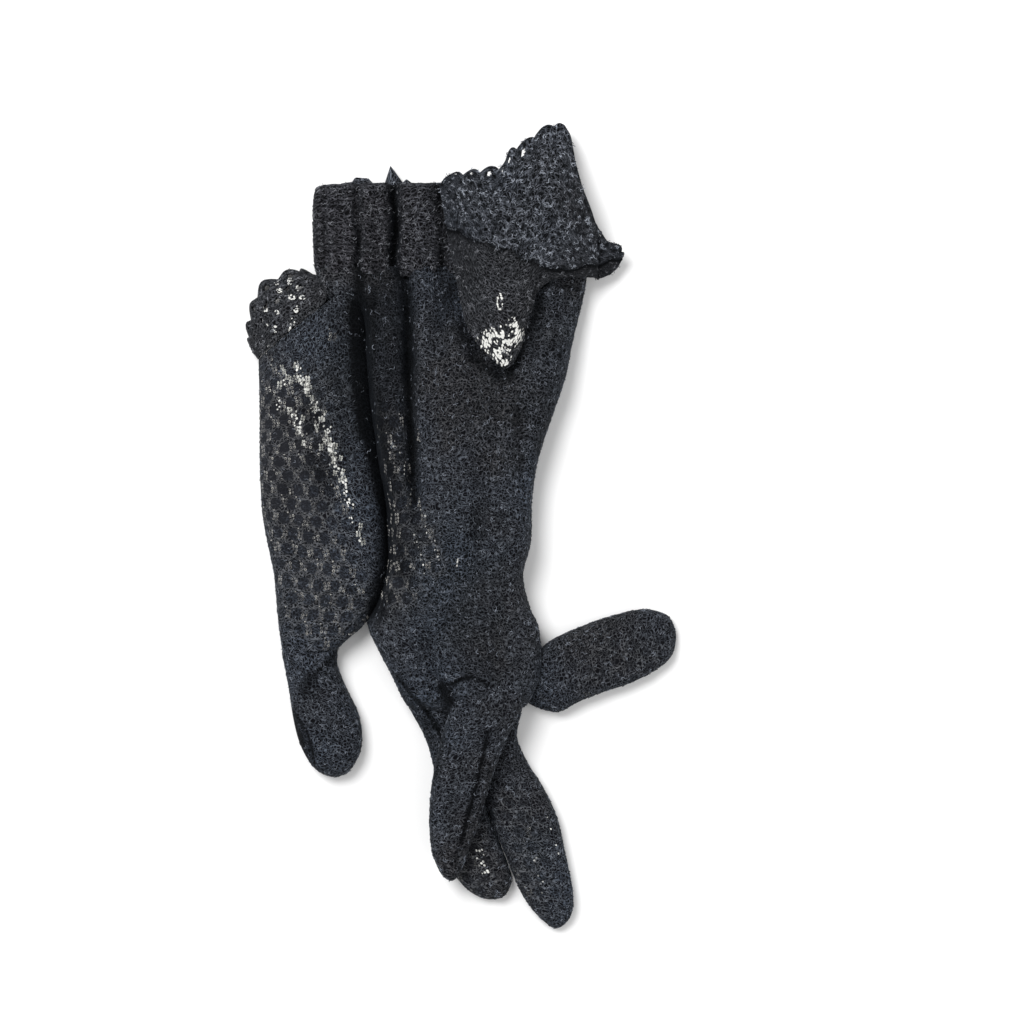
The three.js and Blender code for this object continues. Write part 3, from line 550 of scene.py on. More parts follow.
    # Painted shade, where the cloth lies double in a valley or tuck, or in a shadow: nearly black.
    fold = add("ShaderNodeAttribute", {"attribute_name": "fold"})
    shade_amount = add(MATH, TIMES, [fold.outputs["Fac"], 0.95])
    colour = add(MIX, COLOURS, {0: shade_amount, 6: colour.outputs[2], 7: linear(SHADE_COLOUR)})
    raised = add(MATH, TIMES_PLUS, [netting, -0.5, threads])
    bump = add("ShaderNodeBump", {}, {"Height": raised, "Strength": 0.8, "Distance": 0.0004})
    tree.links.new(colour.outputs[2], shader.inputs["Base Color"])
    tree.links.new(bump.outputs[0], shader.inputs["Normal"])
    shader.inputs["Roughness"].default_value = 0.82
    shader.inputs["IOR"].default_value = 1.5
    shader.inputs["Specular IOR Level"].default_value = 0.05
    shader.inputs["Sheen Weight"].default_value = 0.05
    shader.inputs["Sheen Roughness"].default_value = 0.45
    shader.inputs["Sheen Tint"].default_value = linear(SHEEN)
    return material


def thread_finish(name, dark, pale):
    """Textured nylon thread: each bit a little lighter or darker than the next, with a soft sheen."""
    material = bpy.data.materials.new(name)
    material.use_nodes = True
    tree = material.node_tree
    shader = tree.nodes["Principled BSDF"]
    add = partial(put, tree)
    place = add("ShaderNodeTexCoord")
    shade = add(NOISE, {}, {"Vector": place.outputs["Object"], "Scale": 600.0, "Detail": 1.0})
    spread = add(MAP_RANGE, {}, [shade, 0.42, 0.68])
    colour = add(MIX, COLOURS, {0: spread, 6: linear(dark), 7: linear(pale)})
    tree.links.new(colour.outputs[2], shader.inputs["Base Color"])
    shader.inputs["Roughness"].default_value = 0.7
    shader.inputs["Specular IOR Level"].default_value = 0.14
    shader.inputs["Sheen Weight"].default_value = 0.06
    shader.inputs["Sheen Tint"].default_value = linear(SHEEN)
    return material


def streaks(lines):
    """How much of the cloth shows what lies under it, or how much painted shade it gets, from lines
    in the row frame: both ends in millimetres, a breadth and a strength."""

    def held(points):
        total = np.zeros(len(points))
        for x, y, x2, y2, breadth, strength in lines:
            way = np.array([x2 - x, y2 - y]) / 1000
            off = points[:, :2] - np.array([x, y]) / 1000
            share = np.clip(off @ way / max(way @ way, 1e-9), 0, 1)
            far = np.linalg.norm(off - share[:, None] * way, axis=1) / (breadth / 1000)
            total = np.maximum(total, strength * np.exp(-(far**2)))
        return total

    return held


CLOTH = 0.0009  # thickness of the walls
NET_PITCH = 0.0052  # from one dense patch of the fine lace to the next
nothing = streaks([(0, 500, 0, 501, 1, 0.0)])
PAINTED_SHADE_LINES = streaks([  # painted shade of tucks, creases and the corner's shadow, in the row frame
    (-31, 78, -30.6, 66, 2.6, 1.1),
    (-30.6, 66, -30.4, 48, 4.2, 1.6),
    (-30.4, 48, -28, 27, 4.0, 1.6),
    (-28, 27, -22, 2, 3.0, 1.3),
    (-22, 2, -22.6, -12, 3.2, 1.0),
    (-22.6, -12, -27.4, -28, 2.4, 0.95),
    (-22, -22, -24.5, -29, 2.0, 0.9),
    (-26.4, 72, -26.2, 48, 1.3, 0.9),
    (-24.5, 38, -21.5, 10, 5.4, 0.82),
    (-21.5, 10, -18.5, -14, 4.4, 0.7),
    (-20, 78, -16.6, 72, 1.8, 1.1),
    (-16.6, 72, -15.2, 48, 2.1, 1.3),
    (-15.2, 48, -15, 12, 1.8, 1.1),
    (-15, 12, -12.6, -8, 1.6, 0.6),
    (-22, 76, -21, 14, 5.5, 0.68),
    (-21, 14, -19, -14, 5.0, 0.4),
    (-37, 66, -35, 20, 4.0, 0.4),
    (-3, -16, 3, -44, 14, 0.28),
    (-5.4, -50, -3.4, -54, 2.1, 1.4),
    (-3, -49.5, 3, -46.8, 1.0, 1.1),
    (3, -46.8, 9.4, -50.2, 0.8, 1.0),
    (-19.4, -47, -12, -56, 0.9, 0.9),
    (-12, -56, -5.5, -66, 1.1, 1.0),
    (-5.5, -66, -7.6, -78, 0.9, 0.6),
    (-18, -53, -9, -68, 2.2, 0.45),
    (-6, 80, -2.4, 68, 2.4, 0.9),
    (-2.4, 68, 0, 60, 2.4, 0.9),
    (0, 60, 4.4, 50, 2.2, 1.0),
    (4.4, 50, 12, 44.4, 1.7, 1.0),
    (15, 44, 20.4, 56, 1.7, 0.9),
    (20.4, 56, 25, 69, 1.5, 0.8),
    (25, 73, 36, 71.8, 1.0, 0.9),
    (8, 44, 9, 24, 1.6, 0.3),
    (7.9, 24, 10, -20, 0.5, 0.3),
    (30, 70, 24, 20, 3.0, 0.3),
    (-34, -36.5, -49, -51, 0.9, 0.8),
    (-46.4, -47, -47.6, -53, 1.3, 0.7),
    (-43.4, -45, -45, -54, 0.5, 0.7),
    (-41.6, -46, -43, -55, 0.5, 0.55),
    (-52.6, -60, -50.4, -68, 2.3, 1.25),
    (-50, -66, -48, -75, 2.4, 1.25),
    (-50.6, -59.6, -46.9, -64.8, 0.6, 1.2),
    (-46.9, -64.8, -45.4, -71, 0.6, 1.2),
    (-45.4, -71, -45, -76, 0.6, 0.9),
    (8.6, -64, 5.2, -79, 0.8, 1.2),
    (5.2, -79, 2.6, -89, 0.8, 1.3),
    (2.6, -89, 0.2, -98, 0.8, 1.1),
    (0.2, -98, -1.5, -104, 0.7, 0.6),
])
fine_lace = knit_lace(
    "knitted_nylon_lace", "#08090c", "#545c68", "#8b8d91", NET_PITCH, 0.0011, "#4a4b4e", 9.0
)
fine_threads = thread_finish("textured_nylon_thread", "#0e1013", "#838994")
pale_threads = thread_finish("stretched_nylon_thread", "#4c4c4e", "#b2b0ab")
dim_threads = thread_finish("half_stretched_nylon_thread", "#333437", "#8d8d8b")
# Near-white thread for the knots on the side fold's streaks: painted light for the lit surface seen through
# the net.
white_threads = thread_finish("see_through_pale_thread", "#9b9b96", "#e4e4de")
curls = curl_tree("lay")
fine_curls = curl_tree("lay_fine")
net_knots = knot_tree("thin")
bare_knots = knot_tree("bare")

HAND_WAVES = [
    (0.011, 12, 0.00035, 0.3), (0.017, 75, 0.0005, 1.1), (0.023, 140, 0.0006, 2.0),
    (0.0074, 100, 0.00018, 0.6),
]
PRESSED = [  # along the hand, and how far across the side fold lies over the front there
    (-0.1, 0.3),
    (0.02, 0.315),
    (0.12, 0.325),
    (0.25, 0.328),
    (0.375, 0.348),
    (0.47, 0.372),
    (0.56, 0.396),
    (0.68, 0.402),
    (0.78, 0.372),
    (0.9, 0.33),
]
PRESS_DEPTH = 0.013


def under_side_fold(lowered):
    """The front's own folds, and the shoulder that the side fold lies on."""
    table = np.array(PRESSED)

    def pressed(flat, rise):
        across = (flat[..., 0] - PLAN_ZERO[0]) / HAND_WIDTH
        along = (PLAN_ZERO[1] - flat[..., 1]) / HAND_LENGTH
        edge = np.interp(along, table[:, 0], table[:, 1])
        share = np.clip((edge + 0.042 - across) / 0.05, 0, 1)
        ends = np.clip((along - 0.05) / 0.09, 0, 1) * np.clip((0.86 - along) / 0.12, 0, 1)
        pressing = PRESS_DEPTH * share**2 * (3 - 2 * share) * ends * np.minimum(1, 3 * rise)
        return lowered(flat, rise) + pressing

    return pressed


def hand_skins(rows, folds, counts, columns):
    """The outer and inner skin of a part of the hand, each of so many rings."""
    skins = []
    for count, inset in zip(counts, (0.0, CLOTH)):
        table = smooth_rows(rows, count)
        left = hand_plan(table[:, 0], table[:, 1])
        right = hand_plan(table[:, 2], table[:, 3])
        skins.append(
            lying_rings(left, right, np.zeros(count), table[:, 4] * HAND_HEIGHT, columns, inset, folds)
        )
    return skins


front_folds = under_side_fold(creased(HAND_FOLDS, HAND_WAVES))
DASHES = [  # the fine pale dashes of painted light on the front, beside its tucked strip
    (-31, 39.3, -29, 32.8, 0.6, 0.45),
    (-25.2, 29.7, -24.7, 26.4, 0.6, 0.45),
    (-20.6, 24.4, -18.2, 20.4, 0.6, 0.55),
    (-17.5, 19, -14.5, 8, 0.6, 0.45),
    (-8.9, 10.6, -8.7, 9.6, 0.6, 0.5),
    (-10.9, 2.6, -8.5, -5.5, 0.5, 0.55),
    (-8.5, -5.5, -4.9, -14.4, 0.5, 0.55),
    (-0.8, -10.3, -0.45, -13, 0.6, 0.5),
    (-14, -3, -10.5, -15, 0.5, 0.4),
    (-3.4, -18, -2.6, -20, 0.6, 0.45),
]
front_skins = hand_skins(HAND_ROWS, front_folds, counts=(170, 50), columns=180)
FRONT_NET = [(-24, 30, -19, -20, 6, 1.0), (-14, 4, -7, -14, 3.5, 0.5)]
hand_front = cloth_tube("hand_front", front_skins, thin=streaks(FRONT_NET), bare=streaks(DASHES))
wear(hand_front, "hand", "fine_lace", fine_lace)
threads_over(
    "hand_front_curls", hand_front, curls, fine_threads, "fine_lace", Density=340000.0, Curl=0.00052,
    Thread=0.000085, Spread=2.2, Seed=1,
)
threads_over(
    "hand_front_knots", hand_front, net_knots, pale_threads, "fine_lace", Pitch=NET_PITCH, Ring=0.00034,
    Thread=0.00012, Left=-14.5 * NET_PITCH, Across=20, Down=34, Seed=3,
)

# Side fold: the loose half of the hand that slumps out to the left and carries the thumb, the same
# lace. Here it is stretched, so that its net of pale loops shows between the dark patches.
SIDE_ROWS = [  # left, along on the left, right, along on the right, height
    (0.024, 0.21, 0.329, 0.012, 0.56),
    (0.026, 0.252, 0.341, 0.09, 0.64),
    (0.028, 0.305, 0.353, 0.186, 0.7),
    (0.029, 0.376, 0.365, 0.305, 0.74),
    (0.029, 0.448, 0.382, 0.424, 0.76),
    (0.032, 0.519, 0.397, 0.531, 0.76),
    (0.038, 0.583, 0.406, 0.614, 0.74),
    (0.053, 0.65, 0.409, 0.686, 0.71),
    (0.068, 0.705, 0.4, 0.745, 0.68),
    (0.076, 0.769, 0.376, 0.793, 0.63),
    (0.082, 0.829, 0.329, 0.843, 0.57),
    (0.088, 0.869, 0.279, 0.879, 0.52),
    (0.093, 0.9, 0.253, 0.9, 0.5),
]
SIDE_FOLDS = [  # across at the start and the end, start, end, depth, breadth
    (0.17, 0.24, 0.2, 0.62, 0.16, 0.045),
    (0.1, 0.13, 0.3, 0.75, 0.09, 0.028),
    (0.27, 0.3, 0.12, 0.5, 0.1, 0.03),
    (0.2, 0.13, 0.62, 0.92, 0.06, 0.03),
]
SIDE_WAVES = [(0.013, 20, 0.0003, 0.9), (0.02, 110, 0.0005, 0.2), (0.0068, 60, 0.00014, 1.7)]
side_folds = creased(SIDE_FOLDS, SIDE_WAVES)
side_skins = hand_skins(SIDE_ROWS, side_folds, counts=(120, 34), columns=110)
STREAK = [  # the pale streaks of painted light on the side fold, where it shows what lies under it
    (-50.2, 47.9, -49.2, 44.5, 1.0, 0.7),
    (-49.2, 44.5, -46, 39.6, 1.0, 0.7),
    (-46, 39.6, -44.9, 36.8, 0.8, 0.6),
    (-44.9, 36.8, -42.5, 32.8, 0.8, 0.65),
    (-42.5, 32.8, -40.9, 28.8, 0.9, 0.65),
    (-40.9, 28.8, -39.4, 23.2, 1.0, 0.6),
    (-39.4, 23.2, -37.8, 17, 1.3, 0.65),
    (-37.8, 17, -35.4, 12.4, 1.0, 0.6),
    (-35.4, 12.4, -34.4, 7.4, 0.8, 0.6),
    (-34.4, 7.4, -32.7, 4.3, 1.0, 0.6),
    (-33.3, 1.6, -33, 0.4, 0.7, 0.5),
    (-31, -2.4, -30.3, -7.1, 0.6, 0.4),
    (-54.2, 46, -53.4, 43, 1.2, 0.45),
    (-55.5, 37.9, -55.3, 35, 0.8, 0.45),
    (-51.3, 34, -49.2, 28.8, 0.8, 0.75),
    (-49.2, 28.8, -47.4, 23.2, 0.7, 0.75),
]
SIDE_NET = [(-56, 34, -50, 0, 13, 1.0), (-50, 0, -42, -24, 13, 0.75), (-45, -20, -46, -32, 8, 0.3)]
side_fold = cloth_tube("side_fold", side_skins, thin=streaks(SIDE_NET), bare=streaks(STREAK))
wear(side_fold, "hand", "fine_lace", fine_lace)
threads_over(
    "side_fold_curls", side_fold, curls, fine_threads, "fine_lace", Density=260000.0, Curl=0.0005,
    Thread=0.00008, Spread=1.2, Seed=2,
)
threads_over(
    "side_fold_knots", side_fold, net_knots, pale_threads, "fine_lace", Pitch=NET_PITCH, Ring=0.00036,
    Thread=0.00012, Left=-11.5 * NET_PITCH, Across=23, Down=34, Seed=3,
)
threads_over(
    "side_fold_bare_knots", side_fold, bare_knots, white_threads, "fine_lace", Pitch=0.0021, Ring=0.00024,
    Thread=0.00012, Left=-0.06, Bottom=0.001, Across=57, Down=70, Seed=4,
)

# Wrist band: a coarser lace band drawn in on a flat elastic, so that it stands in lengthwise gathers
# with its threads running round the wrist. Sewn to the hand, open at its mouth.
BAND_HEIGHT = 0.014
BAND_COLUMNS = 240
BAND_ROWS = [  # along from the seam, how far the left and right sides draw in, height
    (-0.06, 0.03, 0.02, 0.9),
    (0.0, 0.012, 0.008, 1.0),
    (0.12, 0.004, 0.0, 1.02),
    (0.35, 0.0, 0.006, 0.95),
    (0.62, 0.0, 0.01, 0.98),
    (0.86, 0.002, 0.012, 1.02),
    (0.96, 0.012, 0.016, 1.0),
    (1.0, 0.035, 0.03, 0.93),
]
GATHERS = [  # across the band, depth, breadth
    (0.044, 0.14, 0.02),
    (0.105, 0.12, 0.016),
    (0.167, 0.25, 0.016),
    (0.235, 0.16, 0.018),
    (0.3, 0.55, 0.02),
    (0.37, 0.12, 0.014),
    (0.42, 0.14, 0.014),
    (0.473, 0.5, 0.018),
    (0.55, 0.14, 0.02),
    (0.64, 0.22, 0.03),
    (0.72, 0.1, 0.02),
    (0.81, 0.22, 0.03),
]
BAND_WAVES = [(0.0052, 4, 0.00028, 0.5), (0.0016, 92, 0.00012, 0.0)]
band_low, band_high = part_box("wrist_band")
band_wide = band_high.x - band_low.x
band_long = band_high.y - band_low.y


def gathered(flat, rise):
    """How far the gathers and the fine waves lower the top of the band."""
    across = (flat[..., 0] - band_low.x) / band_wide
    total = ripple(flat, BAND_WAVES)
    for at, depth, breadth in GATHERS:
        sway = 0.006 * np.sin(flat[..., 1] * 300 + at * 40)
        total = total + BAND_HEIGHT * depth * np.exp(-(((across - at - sway) / breadth) ** 2))
    return total * rise


def band_skin(count, inset):
    """The outer or the inner skin of the band, from its mouth to the seam."""
    table = smooth_rows(BAND_ROWS, count)[::-1]
    y = band_low.y + table[:, 0] * band_long
    left = np.stack([np.full(count, band_low.x) + table[:, 1] * band_wide, y], 1)
    right = np.stack([band_high.x - table[:, 2] * band_wide, y], 1)
    return lying_rings(
        left, right, np.zeros(count), table[:, 3] * BAND_HEIGHT, BAND_COLUMNS, inset, gathered
    )


GATHER_SHADE = streaks([
    (-31.3, 104, -31.3, 90, 0.7, 0.45),
    (-31.3, 90, -31.3, 76, 1.3, 0.95),
    (-19.9, 104, -20.5, 76, 2.3, 0.85),
    (-28.5, 84, -24, 76, 2.2, 0.5),
    (-44.5, 90, -42, 76, 1.8, 0.45),
    (-41.8, 100, -41.8, 76, 0.9, 0.55),
    (-6.6, 104, -4.8, 76, 1.7, 1.0),
])
wrist_band = cloth_tube("wrist_band_lace", [band_skin(60, 0.0), band_skin(16, CLOTH)], fold=GATHER_SHADE)
band_lace = knit_lace("elastic_nylon_lace", "#08080a", "#54565c", "#6c6c70", 0.0042, 0.0013, "#4d4d52", 5.0)
band_threads = thread_finish("crimped_nylon_thread", "#0e0f12", "#818389")
wear(wrist_band, "wrist_band", "coarse_lace", band_lace)
threads_over(
    "wrist_band_curls", wrist_band, curls, band_threads, "coarse_lace", Density=520000.0, Curl=0.0006,
    Thread=0.0001, Spread=0.45, Seed=4,
)

# Lace corner: the end of the wide lace hem, turned out and lying unfolded over the band and the top
# of the hand. A thin openwork sheet of heavier thread, with scallops and eyelets along its free edge.
FLAP_WIDTH = 0.056
FLAP_LENGTH = 0.078
FLAP_BRIDGE = 0.003  # how far the sheet reaches past the side of what it lies on
FLAP_DROOP = 0.009  # how far it falls past the band's mouth
SCALLOP = 0.0017  # how far a scallop stands out
FLAP_SCALLOPS = 15
FLAP_ROWS = [  # free edge across and along, fold across and along
    (0.033, -0.012, 0.006, 0.024),
    (0.139, -0.024, 0.039, 0.164),
    (0.239, -0.036, 0.094, 0.376),
    (0.344, -0.052, 0.144, 0.544),
    (0.378, -0.108, 0.222, 0.644),
    (0.455, -0.145, 0.311, 0.712),
    (0.568, -0.206, 0.378, 0.736),
    (0.675, -0.236, 0.439, 0.672),
    (0.722, -0.186, 0.478, 0.564),
    (0.739, -0.116, 0.511, 0.464),
    (0.772, -0.008, 0.583, 0.4),
    (0.844, 0.132, 0.678, 0.376),
    (0.911, 0.216, 0.778, 0.372),
    (1.0, 0.264, 0.878, 0.368),
    (0.978, 0.328, 0.944, 0.352),
]
HEM_LINE = [  # the line where the wide hem is sewn on, in the row frame, in millimetres
    (-30, 97), (-8, 91.5), (-1.7, 89.7), (6, 86.3), (13.7, 84.2), (21.5, 80.4), (30.7, 77.35), (43.1, 80.4),
    (60, 85),
]
HEM_STEP = 0.0011  # how far the wide hem stands above the finer lace, and its small scallops out
HEM_PITCH = 0.0077  # from one of these scallops to the next
SHEET = 0.0008  # thickness of the hems
LIFT = 0.0019  # how far the outer side of the sheet is above what it lies on
FLAP_START = 0.54 * 0.085  # from the band's right side to where the corner starts


def top_across(across, height):
    """The height of a lying tube of cloth at places across it, from -1 to 1."""
    inside = np.clip(1 - np.abs(across) ** (2 / SQUARENESS), 0, None)
    return WIDEST * height + height * (1 - WIDEST) * inside ** (SQUARENESS / 2)


def held_up(x, y):
    """The height of the band or the hand under the lace corner."""
    hand_rows = np.array(HAND_ROWS)

    def over(left, right, height):
        across = (2 * x - left - right) / (right - left + 2 * FLAP_BRIDGE)
        return np.where(across < 1, top_across(np.minimum(across, 1), height), WIDEST * height)

    band = over(band_low.x, band_high.x, BAND_HEIGHT)
    past = np.maximum(0, y - band_high.y)
    fall = FLAP_DROOP * np.minimum(1, past / (0.26 * FLAP_LENGTH))
    along = (PLAN_ZERO[1] - y) / HAND_LENGTH
    left, right, height = (np.interp(along, hand_rows[:, 1], hand_rows[:, i]) for i in (0, 2, 4))
    hand = over(PLAN_ZERO[0] + left * HAND_WIDTH, PLAN_ZERO[0] + right * HAND_WIDTH, height * HAND_HEIGHT)
    near = np.clip((band_low.y - y) / band_long, 0, 1)
    below = np.maximum(hand, band + (hand - band) * near)
    return np.where(y >= band_low.y, band - fall, below)


def lace_sheet(name, grid, holes, joined=False, **facts):
    """A single layer of lace from a grid of points, with the squares that holes marks left out. No
    threads lie along its edges, but for the last row of a piece that is joined to another one there."""
    rows, columns = grid.shape[:2]
    number = np.arange(rows * columns).reshape(rows, columns)
    quads = np.stack([number[:-1, :-1], number[1:, :-1], number[1:, 1:], number[:-1, 1:]], -1)
    held = cloth_map(grid)
    spots = np.stack([held[:-1, :-1], held[1:, :-1], held[1:, 1:], held[:-1, 1:]], 2)
    # The outer side is up, whichever way the grid runs.
    middle = grid[rows // 2, columns // 2]
    step_u = grid[rows // 2, columns // 2 + 1] - middle
    step_v = grid[rows // 2 + 1, columns // 2] - middle
    if np.cross(step_v, step_u)[2] < 0:
        quads, spots = quads[..., ::-1], spots[..., ::-1, :]
    kept = ~holes
    points = grid.reshape(-1, 3)
    facts = {"thin": nothing, "bare": nothing, "fold": nothing, **facts}
    known = {fact: values(points) for fact, values in facts.items()}
    # The points with a square on every side of them.
    solid = np.pad(kept, 1)
    solid[-1] = joined
    inside = solid[:-1, :-1] & solid[1:, :-1] & solid[:-1, 1:] & solid[1:, 1:]
    covered = (1 - 0.9 * np.clip(known["bare"] * 1.6, 0, 1)) * (1 - 0.8 * known["fold"]) * inside.ravel()
    known["lay"] = covered * (known.get("above", 1.0) > 0)
    known["lay_fine"] = covered - known["lay"]
    piece = new_piece(name, points, quads[kept], spots[kept], known)
    # The points that no square uses go.
    unused = np.setdiff1d(number, quads[kept])
    work = bmesh.new()
    work.from_mesh(piece.data)
    work.verts.ensure_lookup_table()
    bmesh.ops.delete(work, geom=[work.verts[i] for i in unused], context="VERTS")
    work.to_mesh(piece.data)
    work.free()
    thick = piece.modifiers.new("wall", "SOLIDIFY")
    thick.thickness = SHEET
    thick.offset = -1
    make_plain(piece)
    return piece


flap_corner = np.array([band_high.x - FLAP_START, band_high.y])
FLAP_COLUMNS = 250
FLAP_LINES = 76
flap_table = smooth_rows(FLAP_ROWS, FLAP_COLUMNS + 1)
flap_u = np.linspace(0, 1, FLAP_COLUMNS + 1)
flap_v = np.linspace(0, 1, FLAP_LINES + 1)[:, None, None]
edge = np.stack([flap_table[:, 0] * FLAP_WIDTH, -flap_table[:, 1] * FLAP_LENGTH], 1)
fold = np.stack([flap_table[:, 2] * FLAP_WIDTH, -flap_table[:, 3] * FLAP_LENGTH], 1)
outward = edge - fold
outward = outward / np.linalg.norm(outward, axis=1, keepdims=True)
# The scallops of the cut side are plainer.
flap_scallop = SCALLOP * np.interp(flap_u, [0.46, 0.5, 0.88, 0.93], [1.0, 0.25, 0.25, 1.0])
edge = edge + outward * (flap_scallop * np.abs(np.sin(math.pi * FLAP_SCALLOPS * flap_u)) ** 0.8)[:, None]
flat = edge[None] * (1 - flap_v) + fold[None] * flap_v + flap_corner
flap_z = held_up(flat[..., 0], flat[..., 1]) + LIFT
flap_z = flap_z + ripple(flat, [(0.009, 30, 0.0004, 0.2), (0.015, 100, 0.0006, 1.4)])


def above_hem_line(flat):
    """How far each place lies above the scalloped line where the wide hem is sewn on, in metres."""
    table = np.array(HEM_LINE) / 1000
    line = np.interp(flat[..., 0], table[:, 0], table[:, 1])
    return flat[..., 1] - line + HEM_STEP * np.abs(np.sin(flat[..., 0] * math.pi / HEM_PITCH))


flap_above = above_hem_line(flat)
seam_ridge = 0.0009 * np.exp(-(((flap_above - 0.0012) / 0.0009) ** 2))
flap_z = flap_z + HEM_STEP * np.clip(flap_above / 0.0007, 0, 1) + seam_ridge
flap_grid = np.dstack([flat, flap_z])


def near_eyelets(u_count, v_count, places, ratio):
    """Which squares of a grid lie within an eyelet: places along and across, and its half size along."""
    u = (np.arange(u_count) + 0.5) / u_count
    v = (np.arange(v_count) + 0.5) / v_count
    gone = np.zeros((v_count, u_count), bool)
    for at, across, half in places:
        gone |= ((u[None, :] - at) / half) ** 2 + ((v[:, None] - across) / (half * ratio)) ** 2 < 1
    return gone


# The eyelets of the corner: the ones that the photo shows clearly are larger.
SEEN_EYELETS = [(-0.9, 105.2), (1.4, 105.2), (6, 106.1), (9.1, 106.1), (12.2, 105.6), (16.8, 112.3)]
flap_places = []
for i in range(FLAP_SCALLOPS):
    at = (i + 0.5) / FLAP_SCALLOPS
    spot = flat[4, round(at * FLAP_COLUMNS)] * 1000
    seen = min(math.dist(spot, eyelet) for eyelet in SEEN_EYELETS) < 3.5
    if seen or spot[1] < 104:
        flap_places.append((at, 0.06, 0.008 if seen else 0.0055))
flap_holes = near_eyelets(FLAP_COLUMNS, FLAP_LINES, flap_places, 2.2)

# The small holes of the coarse lace are not cut: painted shade marks each one.
HOLE_PITCH = 0.0029
HOLE_RADIUS = 0.00085
HOLES_ACROSS = 60
HOLES_DOWN = 90
shaken = np.random.default_rng(12)
corner_holes = kdtree.KDTree(HOLES_ACROSS * HOLES_DOWN)
for i in range(HOLES_ACROSS):
    for j in range(HOLES_DOWN):
        x = -0.03 + (i + 0.5 * (j % 2)) * HOLE_PITCH + shaken.normal(0, 0.00045)
        y = 0.03 + j * HOLE_PITCH * 0.87 + shaken.normal(0, 0.00045)
        corner_holes.insert((x, y, 0), i * HOLES_DOWN + j)
corner_holes.balance()


def hole_shade(points):
    """How much painted shade each point gets for lying in one of the small holes of the coarse lace."""
    far = np.array([corner_holes.find((x, y, 0))[2] for x, y in points[:, :2]])
    return np.exp(-((far / HOLE_RADIUS) ** 2))


def hem_shade(points):
    """Painted shade in the small holes of the wide hem, and a painted shadow the hem casts along its
    scalloped edge.
    """
    above = above_hem_line(points)
    cast = 0.95 * np.exp(-(((above + 0.0003) / 0.0007) ** 2))
    return np.maximum(cast, hole_shade(points) * (above > 0.0004))


PATCH_STREAKS = streaks(
    [(9.5, 55.2, 15.2, 56.4, 3.6, 1.1), (11, 56, 13, 49.2, 2.7, 1.1), (16.5, 60.5, 17.6, 57, 1.9, 0.9)]
)
PATCH_RINGS = [(11.2, 54.4, 1.2), (15.0, 57.0, 0.9), (14.2, 58.9, 0.5), (13.6, 50.6, 0.4)]


def painted_light_patch(points):
    """The bare patch at the hem's tip: pale blots of painted light, where what lies under it shows through.
    """
    x, y = points[:, 0] * 1000, points[:, 1] * 1000
    patch = PATCH_STREAKS(points)
    patch = patch - 0.2 * np.abs(np.sin(x * 1.9 + 0.6 * y)) * np.abs(np.sin(y * 1.7 - 0.5 * x))
    for ring_x, ring_y, ring in PATCH_RINGS:
        far = np.hypot(x - ring_x, y - ring_y)
        patch = patch - 1.3 * np.exp(-(((far - ring) / 0.5) ** 2))
    loop = np.hypot((x - 12.2) / 0.8, (y - 67) / 2.0)
    return np.clip(np.maximum(patch, 0.9 * np.exp(-(((loop - 1) / 0.28) ** 2))), 0, 1)


lace_corner = lace_sheet(
    "lace_corner_sheet", flap_grid, flap_holes, bare=painted_light_patch, fold=hem_shade, above=above_hem_line
)
corner_lace = knit_lace(
    "corded_nylon_lace", "#08090b", "#6a707b", "#84868e", 0.0046, 0.0013, "#606268", 12.0
)
corner_fine = knit_lace(
    "knitted_nylon_lace_hem", "#08090b", "#4e5055", "#84868e", 0.0048, 0.0011, "#494a4d", 6.0
)
corner_threads = thread_finish("corded_nylon_thread", "#181b20", "#a2a8b3")
wear(lace_corner, "lace_corner", "coarse_lace", corner_lace, corner_fine)
for face in lace_corner.data.polygons:
    if above_hem_line(np.array(face.center)) < 0:
        face.material_index = 1
corner_curls = threads_over(
    "lace_corner_curls", lace_corner, curls, corner_threads, "coarse_lace", Density=700000.0, Curl=0.00048,
    Thread=0.00011, Spread=3.1, Seed=5,
)
tail_curls = threads_over(
    "lace_corner_fine_curls", lace_corner, fine_curls, band_threads, "coarse_lace", Density=420000.0,
    Curl=0.0005, Thread=0.000085, Spread=0.9, Seed=9,
)

# Side hem: the same lace hem where it borders the mouth of the side fold, scalloped and pierced. It
# bends up from the surface that the glove lies on to the edge of the fold.
SIDE_REACH = 0.020
SIDE_SCALLOPS = 7
SEAM_GAP = 0.00035  # between two pieces that are sewn together
SIDE_HEM_ROWS = [  # along the mouth, out from it, how far the inner edge stands off
    (0.0, 0.1, 0.0),
    (0.03, 0.3, 0.0),
    (0.08, 0.45, 0.0),
    (0.153, 0.58, 0.0),
    (0.25, 0.73, 0.0),
    (0.388, 0.837, 0.0),
    (0.533, 0.766, 0.0),
    (0.647, 0.69, 0.0),
    (0.7, 0.58, 0.06),
    (0.748, 0.43, 0.22),
    (0.79, 0.36, 0.3),
]
HEM_COLUMNS = 150
HEM_LINES = 60
hem_table = smooth_rows(SIDE_HEM_ROWS, HEM_COLUMNS + 1)
hem_u = np.linspace(0, 1, HEM_COLUMNS + 1)
hem_v = np.linspace(0, 1, HEM_LINES + 1)[:, None, None]
mouth_left = hand_plan(SIDE_ROWS[0][0], SIDE_ROWS[0][1])
mouth = hand_plan(SIDE_ROWS[0][2], SIDE_ROWS[0][3]) - mouth_left
out = np.array([-mouth[1], mouth[0]]) / np.linalg.norm(mouth)
scallop = SCALLOP * np.abs(np.sin(math.pi * SIDE_SCALLOPS * hem_u)) * np.minimum(1, 4 * (1 - hem_u))
inner_edge = mouth_left + mouth * hem_table[:, :1] + out * (SEAM_GAP + hem_table[:, 2:] * SIDE_REACH)
outer_edge = inner_edge + out * ((hem_table[:, 1] - hem_table[:, 2]) * SIDE_REACH + scallop)[:, None]
